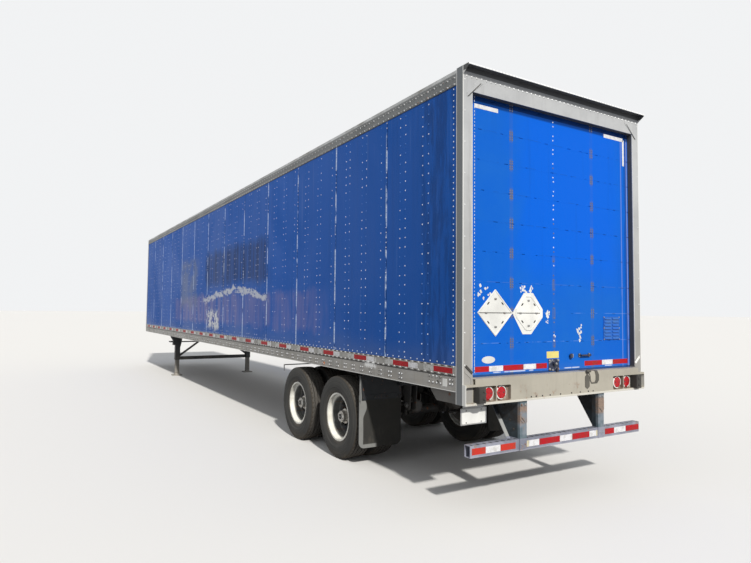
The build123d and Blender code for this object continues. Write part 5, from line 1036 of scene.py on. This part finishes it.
# ---------------------------------------------------------------- rear frame
b = Build()
heads(b, grid(0, spread(-1.25, 1.25, 0.060), 4.016), BACK, BIG_RIVET, 8)
for sign in (1, -1):
    bar(b, (REAR - 0.004, sign * 1.236, 3.829), (REAR - 0.004, sign * 1.083, 3.975), BACK, 0.008, 0.0022, mark=1)
heads(b, grid(-0.0838, spread(-1.27, 1.27, 0.042), 4.0995), (-0.936, 0, 0.351), RIVET)
finish_piece(b, "header_trim", ["rivet_bare", "dark"])

b = Build()
for sign, mark in ((1, 1), (-1, 2)):
    heads(b, grid(0, sign * 1.272, spread(1.36, 3.98, 0.29)), BACK, RIVET)
    half_round(b, (REAR, sign * 1.187, 1.33), (REAR, sign * 1.187, 3.76), BACK, 0.0035)
    plate(b, (REAR - 0.001, sign * 1.166, 1.206), BACK, (0.021, 0.036), 0.002, mark=3)
    bar(b, (REAR, sign * 1.262, 1.352), (REAR, sign * 1.186, 1.285), BACK, 0.024, 0.007, mark=mark)
finish_piece(b, "post_rivets", ["rivet_bare", "dark", "placard", "sill"])

# ---------------------------------------------------------------- roll-up door
b = Build()
for z in PANEL_ZS:
    hinge_zs = [z + dz for dz in (-0.038, -0.016, 0.014, 0.036)]
    heads(b, grid(DOOR_X, [y + dy for y in HINGE_YS for dy in (-0.016, 0.016)], hinge_zs), BACK, RIVET, 8, mark=1)
    for dz in (-0.092, -0.048, 0.050, 0.096):
        place = (DOOR_FACE, 0.045 + dice.uniform(-0.004, 0.004), z + dz)
        heads(b, [place], BACK, RIVET, 8, mark=2 if z > 2.3 and dice.random() < 0.6 else 1)
for z in spread(1.285, 3.865, 0.034):
    middle = (DOOR_FACE, 1.104 + dice.uniform(-0.001, 0.001), z)
    plate(b, middle, BACK, (0.0035, dice.uniform(0.004, 0.012 if z > 1.7 else 0.017)), 0.0005)
for z in PANEL_ZS:
    y = -1.15
    while y < 1.10:
        end = min(y + dice.uniform(0.06, 0.34), 1.15)
        plate(b, (DOOR_FACE, (y + end) / 2, z - 0.002), BACK, ((end - y) / 2, 0.0050), 0.0004, mark=3)
        y = end + dice.uniform(0.010, 0.055)
finish_piece(b, "door_rivets", ["rivet_bare", "rivet_rust", "rivet_pale", "door"])

b = Build()
tape_row(b, DOOR_FACE, 1.3075, 0.0255,
         ((1.10, 0.925, 0), (0.925, 0.747, 1), (0.747, 0.478, 0), (0.478, 0.305, 1), (0.305, 0.15, 0),
          (-0.416, -0.70, 0), (-0.70, -0.88, 1), (-0.88, -1.14, 0)))
for y, z, half in ((0.957, 3.786, (0.151, 0.020)), (-0.935, 3.810, (0.166, 0.020)), (-1.105, 3.661, (0.016, 0.149))):
    plate(b, (DOOR_FACE, y, z), BACK, half, *TAPE, mark=1)
finish_piece(b, "door_tape", ["tape_red", "tape_white"])

# Blank films on the lowest panel, and what is left of others higher up
b = Build()
low, top = [b.ring([(DOOR_FACE - high, 0.9325 + 0.0825 * c * share, 1.392 + 0.034 * s * share)
                    for c, s in around(28)]) for high, share in ((0.0, 1.0), (0.0008, 0.985))]
b.bridge(top, low)
b.face(top[::-1])
plate(b, (DOOR_FACE, 0.066, 1.413), BACK, (0.088, 0.034), 0.0008, 0.004, mark=1)
REMAINS = (
    (0.472, 2.078, 0.05, 0.05, 9), (0.364, 2.063, 0.03, 0.04, 6), (0.142, 1.805, 0.03, 0.05, 7),
    (0.134, 1.750, 0.03, 0.02, 4), (-0.340, 1.679, 0.04, 0.04, 9), (-0.349, 1.602, 0.018, 0.05, 6),
    (0.985, 2.029, 0.09, 0.06, 12), (0.038, 1.601, 0.012, 0.010, 3), (0.039, 1.561, 0.010, 0.012, 2),
)
for y, z, wide, high, count in REMAINS:
    for _ in range(count):
        y0, z0 = y + dice.uniform(-wide, wide), z + dice.uniform(-high, high)
        size = dice.uniform(0.35, 1.0) * (0.024 if count > 4 else 0.012)
        rim = [(y0 + size * dice.uniform(0.4, 1.0) * cos(a), z0 + size * dice.uniform(0.5, 1.3) * sin(a))
               for a in [-2 * pi * i / 9 for i in range(9)]]
        foot = b.ring([(DOOR_FACE, *q) for q in rim])
        top = b.ring([(DOOR_FACE - dice.uniform(0.0004, 0.0010), *q) for q in rim])
        b.bridge(foot, top)
        b.face(top)
finish_piece(b, "door_films", ["sticker", "label"])

# Placard holders: a backing plate, raised edges, the slot across the middle and the spring clips
b = Build()
outline = [(0.490, 1.626), (0.374, 1.625), (0.211, 1.792), (0.210, 1.871), (0.346, 2.033), (0.471, 2.030),
           (0.627, 1.832)]
foot, top = [b.ring([(x, *q) for q in outline]) for x in (DOOR_FACE, DOOR_FACE - 0.0020)]
b.bridge(foot, top)
b.face(top)
face_x = DOOR_FACE - 0.003
for y, half, clip in ((0.847, 0.226, 0.004), (0.410, 0.212, 0.042)):
    z = DOOR_LOW + 0.579
    inner = half - 0.012
    edge = [(0, -inner), (inner, 0), (0, inner), (-inner, 0)]
    if clip > 0.01:
        cut = clip - 0.006
        rest = inner - cut
        edge = [(-cut, -rest), (cut, -rest), (rest, -cut), (rest, cut), (cut, rest), (-cut, rest), (-rest, cut),
                (-rest, -cut)]
    edging(b, face_x, [(y + dy, z + dz) for dy, dz in edge], 0.014, 0.004)
    bar(b, (face_x, y - inner + clip, z), (face_x, y + inner - clip, z), BACK, 0.007, 0.003, mark=1)
    for dy, dz in ((0.0, 0.62), (0.0, -0.62), (0.55, 0.0), (-0.55, 0.0)):
        plate(b, (face_x, y + dy * inner, z + dz * inner), BACK, (0.014, 0.008), 0.007, 0.003, mark=2)
        heads(b, [(face_x - 0.007, y + dy * inner, z + dz * inner)], BACK, RIVET, 8, mark=2)
    for dy, dz in ((0.42, 0.42), (-0.42, 0.42), (0.42, -0.42), (-0.42, -0.42)):
        plate(b, (face_x, y + dy * inner, z + dz * inner), BACK, (0.016, 0.006), 0.004, 0.002,
              copysign(pi / 4, dy * dz), 1)
finish_piece(b, "placard_edges", ["placard", "dark", "bolt"])

# Vent frame, and the bolts of the vent, the lock and the handle
b = Build()
wide, high = 0.12931, 0.12
edging(b, DOOR_FACE - 0.005, [(VENT_Y + wide * c, VENT_Z + high * s) for c,
                              s in ((-1, -1), (1, -1), (1, 1), (-1, 1))],
       0.010, 0.003)
heads(b, grid(DOOR_X - 0.008, twin(VENT_Y, 0.129), [VENT_Z + dz for dz in (-0.12, 0.0, 0.12)]), BACK, RIVET, 8,
      mark=1)
heads(b, grid(DOOR_X - 0.005, twin(0.055, 0.062), twin(DOOR_LOW + 0.058, 0.042)), BACK, HEX, mark=1)
heads(b, grid(DOOR_X - 0.037, 0.055, DOOR_LOW + 0.0696), BACK, HEX, mark=1)
heads(b, grid(DOOR_X - 0.005, (-0.487, -0.335), twin(DOOR_LOW + 0.141, 0.0125)), BACK, RIVET, 8, mark=1)
finish_piece(b, "door_bolts", ["gear_door", "bolt"])

# ---------------------------------------------------------------- sill, lamps and plate
b = Build()
heads(b, grid(SILL_X, (0.48, 0.413, 0.328, 0.221, 0.073, -0.09, -0.22, -0.345, -0.42), 1.032), BACK, RAIL_RIVET, 8,
      mark=1)
heads(b, grid(-0.090, (1.120, -1.120), (1.060, 1.127)), BACK, HEX, mark=1)
finish_piece(b, "sill_bolts", ["bolt", "dark"])

# A crumbling sealed rim round each lamp, with gaps
b = Build()
for y in [sign * y for sign in (1, -1) for y in LAMP_YS]:
    for k in range(24):
        if (k * 7 + (3 if abs(y) > 0.9 else 0)) % 24 in (2, 9, 16, 21):
            continue
        ids = b.ring([(REAR - 0.006 - depth, y + radius * cos(angle), LAMP_Z + radius * sin(angle))
                      for angle in (2 * pi * k / 24, 2 * pi * (k + 1) / 24)
                      for radius, depth in ((0.0555, 0.0), (0.0555, 0.012), (0.0640, 0.010), (0.0660, 0.0))])
        for i in range(3):
            b.face([ids[i], ids[i + 1], ids[i + 5], ids[i + 4]])
        b.face([ids[0], ids[3], ids[2], ids[1]])
        b.face(ids[4:])
    heads(b, grid(-0.018, twin(y, 0.030), LAMP_Z), BACK, RIVET, 8, mark=1)
finish_piece(b, "lamp_surrounds", ["placard", "dark"])

b = Build()
for y in twin(PLATE_Y, 0.145):
    bar(b, (PLATE_X, y, PLATE_Z - 0.072), (PLATE_X, y, PLATE_Z + 0.072), BACK, 0.008, 0.003)
for z in twin(PLATE_Z, 0.072):
    bar(b, (PLATE_X, PLATE_Y - 0.149, z), (PLATE_X, PLATE_Y + 0.149, z), BACK, 0.008, 0.003)
plate(b, (PLATE_X, PLATE_Y, PLATE_Z), BACK, (0.139, 0.066), 0.0012, 0.012, mark=1)
heads(b, grid(0.0548, twin(PLATE_Y, 0.09), twin(PLATE_Z, 0.054)), BACK, RAIL_RIVET, 8, mark=2)
finish_piece(b, "plate_blank", ["zinc", "placard", "bolt"])

# ---------------------------------------------------------------- underride guard
b = Build()
tape_row(b, REAR + GUARD_X, sum(GUARD_Z) / 2, 0.0295,
         ((1.20, 1.034, 2), (1.034, 0.853, 1), (0.853, 0.66, 2), (0.515, 0.485, 3), (0.485, 0.345, 1),
          (0.345, 0.054, 0),
          (0.054, -0.127, 1), (-0.127, -0.39, 0), (-0.39, -0.495, 1), (-0.495, -0.518, 3), (-0.637, -0.79, 0),
          (-0.79, -0.985, 1), (-0.985, -1.215, 0)))
finish_piece(b, "guard_tape", ["tape_red", "tape_white", "tape_rust", "tape_yellowed"])

b = Build()
for sign in (1, -1):
    y = sign * GUARD_POST_Y
    heads(b, grid(-0.025, twin(y, 0.024), 0.962), BACK, HEX)
    bar(b, (REAR - 0.025, y + 0.030, 0.842), (REAR - 0.025, y - 0.012, 0.800), BACK, 0.008, 0.0015, mark=1)
    heads(b, grid(-0.020, twin(y, 0.022), 0.585), BACK, RAIL_RIVET, 8)
    for x, z in ((0.06, 0.72), (0.11, 0.80), (0.19, 0.93)):
        heads(b, grid(x, y + sign * 0.045, z), (0, sign, 0), HEX, mark=1)
for y in spread(0.64, 1.19, 0.075) + spread(-1.19, -0.64, 0.075) + spread(-0.50, 0.50, 0.075):
    plate(b, (REAR + 0.012, y, GUARD_Z[1]), UP, (0.0085, 0.024), 0.0008, 0.006, mark=1)
finish_piece(b, "guard_bolts", ["bolt", "dark"])


# ---------------------------------------------------------------- tyres, hubs, valves
def tyre_profile():
    """(y, radius, zigzag, notch) round one tyre, from the inner bead over the tread to the other bead."""
    side = [(0.104, 0.287), (0.107, 0.301), (0.1155, 0.306), (0.1195, 0.312), (0.1215, 0.325), (0.1300, 0.350),
            (0.1345, 0.368), (0.1368, 0.370), (0.1385, 0.384), (0.1400, 0.400), (0.1398, 0.412), (0.1380, 0.430),
            (0.1358, 0.440), (0.1372, 0.442), (0.1368, 0.449), (0.1342, 0.451), (0.1310, 0.466), (0.1300, 0.4665),
            (0.1268, 0.480), (0.1240, 0.490), (0.1200, 0.4985), (0.1155, 0.5035), (0.1080, 0.5060)]
    half = [(y, r, 0, 1 if r >= 0.490 else 0) for y, r in side]
    for groove in (0.074, 0.026):
        top = 0.510 - 0.004 * (groove / 0.108) ** 2
        half += [(groove + dy, top - depth, 1, 0)
                 for dy, depth in ((0.0055, 0), (0.0035, 0.012), (-0.0035, 0.012), (-0.0055, 0))]
    return [(-y, r, z, n) for y, r, z, n in half] + half[::-1]


def tyre_mesh(build, x, y, count=192):
    """Ribbed road tyre: zigzag grooves and notched shoulders round the tread."""
    profile = tyre_profile()
    rings = []
    for i, (c, s) in enumerate(around(count)):
        swing = (-0.0026, 0.0, 0.0026, 0.0)[i % 4]
        notch = 0.0045 if i % 4 == 0 else 0.0
        rings.append(build.ring([
            (x + (r - n * notch) * c, y + across + z * swing,
             AXLE_Z + (r - n * notch) * s) for across, r, z, n in profile
        ]))
    for first, second in zip(rings, rings[1:] + rings[:1]):
        build.bridge(first, second, closed=False)


for row, place in AXLES.items():
    for side, sign in SIDES:
        body = f"wheels_{row}_{side}"
        cx = REAR + place
        b = Build()
        for offset in (DISC_Y, -DISC_Y):
            tyre_mesh(b, cx, sign * (PAIR_Y + offset))
        piece = finish_piece(b, f"road_tyres_{row}_{side}", ["tyre"], body, smooth=38)
        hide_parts(f"tyres_{row}_{side}")

        out = (0, sign, 0)
        b = Build()
        cap = sign * (PAIR_Y + 0.245)
        ring = [(cx + 0.056 * c, cap, AXLE_Z + 0.056 * s) for c, s in around(6, 0.3)]
        heads(b, ring, out, [(0.0075, 0.0), (0.0075, 0.005), (0.0060, 0.006)])
        window = [(0.034, 0.0), (0.034, 0.004), (0.030, 0.005), (0.030, 0.0028), (0, 0.0028)]
        heads(b, [(cx, cap, AXLE_Z)], out, window, 24, mark=1)
        heads(b, [(cx, cap + sign * 0.0028, AXLE_Z)], out, [(0.009, 0.0), (0.009, 0.006), (0.006, 0.008)], 12)
        root = sign * (PAIR_Y + 0.058)
        for angle, reach in ((0.35, 0.050), (0.35 + pi, 0.085)):
            foot_x, foot_z = cx + 0.228 * cos(angle), AXLE_Z + 0.228 * sin(angle)
            tip = (cx + 0.193 * cos(angle), root + sign * reach, AXLE_Z + 0.193 * sin(angle))
            tube(b, [(foot_x, root - sign * 0.02, foot_z), (foot_x, root + sign * 0.015, foot_z), tip], 0.0042, 8)
            heads(b, [tip], out, [(0.0056, -0.012), (0.0056, 0.006), (0.0040, 0.010)], 10, mark=1)
        finish_piece(b, f"hub_trim_{row}_{side}", ["bolt", "dark"], body, smooth=30)

# ---------------------------------------------------------------- tandem and landing gear: bolts and nuts
b = Build()
for sign in (1, -1):
    heads(b, grid(1.860, [sign * y for y in spread(0.74, 1.25, 0.170)], 0.820), BACK, HEX)
    heads(b, grid(1.864, [sign * y for y in (0.76, 1.0, 1.23)], 1.045), BACK, HEX)
finish_piece(b, "flap_bolts", ["dark"], "tandem")

b = Build()
for sign in (1, -1):
    for facing in (1, -1):
        y = sign * (SPRING_Y + facing * 0.048)
        for place in AXLES.values():
            heads(b, grid(twin(place, 0.076), y, 0.4255), (0, 0, -1), U_BOLT_NUT)
        for x, z in ((1.965, 0.672), (3.0775, 0.800), (4.190, 0.672)):
            heads(b, grid(x, y, z), (0, sign * facing, 0), PIVOT_NUT)
finish_piece(b, "tandem_nuts", ["bolt"], "tandem")

b = Build()
for sign in (1, -1):
    inner, outer = sign * (LEG_Y - LEG_HALF), sign * (LEG_Y + LEG_HALF)
    out = (0, sign, 0)
    brace_xs, hanger_xs = [[LEG_X + dx for dx in (-far, -near, near, far)] for near,
                           far in ((0.14, 0.235), (0.15, 0.24))]
    heads(b, grid(brace_xs, inner - sign * 0.008, 1.085), (0, -sign, 0), BIG_HEX)
    heads(b, grid(hanger_xs, inner, 1.087), out, HEX)
    heads(b, grid(twin(LEG_X, 0.045), outer, (0.47, 0.61, 0.75)), out, HEX)
heads(b, grid(twin(LEG_X, 0.045), LEG_Y + LEG_HALF + 0.060, (0.862, 0.998)), (0, 1, 0), HEX)
finish_piece(b, "leg_bolts", ["bolt"])

# ---------------------------------------------------------------- floor, light, camera
floor = bpy.data.objects.new("floor", bpy.data.meshes.new("floor"))
floor.data.from_pydata([(-400, -400, 0), (400, -400, 0), (400, 400, 0), (-400, 400, 0)], [], [(0, 1, 2, 3)])
bpy.context.scene.collection.objects.link(floor)
paper = Finish("floor_pale", 0.9, specular=0.1)
paper.color = paper.mix(paper.seen(), (0.22, 0.22, 0.23), (0.80, 0.79, 0.77))
floor.data.materials.append(paper.done())

world = bpy.data.worlds.new("studio")
bpy.context.scene.world = world
world.use_nodes = True
sky = Nodes(world.node_tree)
either = sky.node("ShaderNodeMixShader")
sky.put(either.inputs[0], sky.seen())
for i, tint, strength in ((1, (0.93, 0.96, 1.0), 0.50), (2, (0.93, 0.94, 0.95), 0.95)):
    glow = sky.node("ShaderNodeBackground")
    sky.put(glow.inputs["Color"], tint)
    sky.put(glow.inputs["Strength"], strength)
    sky.put(either.inputs[i], glow.outputs[0])
sky.put(sky.node("ShaderNodeOutputWorld").inputs["Surface"], either.outputs[0])

sun = bpy.data.objects.new("key", bpy.data.lights.new("key", "SUN"))
sun.data.energy = 3.5
sun.data.angle = radians(2.5)
sun.data.color = (1.0, 0.97, 0.92)
travel = Vector((1.3, -0.28, -1.0))
sun.rotation_euler = travel.to_track_quat("-Z", "Y").to_euler()
bpy.context.scene.collection.objects.link(sun)

yaw, pitch, roll = radians(-31.198), radians(2.928), radians(0.526)
ahead = Vector((cos(pitch) * cos(yaw), cos(pitch) * sin(yaw), sin(pitch)))
right = ahead.cross(Vector((0, 0, 1))).normalized()
up = right.cross(ahead)
right, up = right * cos(roll) + up * sin(roll), up * cos(roll) - right * sin(roll)
camera = bpy.data.objects.new("camera", bpy.data.cameras.new("camera"))
camera.data.sensor_width = 36.0
camera.data.lens = 27.54
camera.data.clip_end = 1000.0
pose = Matrix((right, up, -ahead)).transposed().to_4x4()
pose.translation = Vector((-12.005, 4.649, 1.841))
camera.matrix_world = pose
bpy.context.scene.collection.objects.link(camera)
bpy.context.scene.camera = camera
bpy.context.scene.view_settings.view_transform = "Standard"
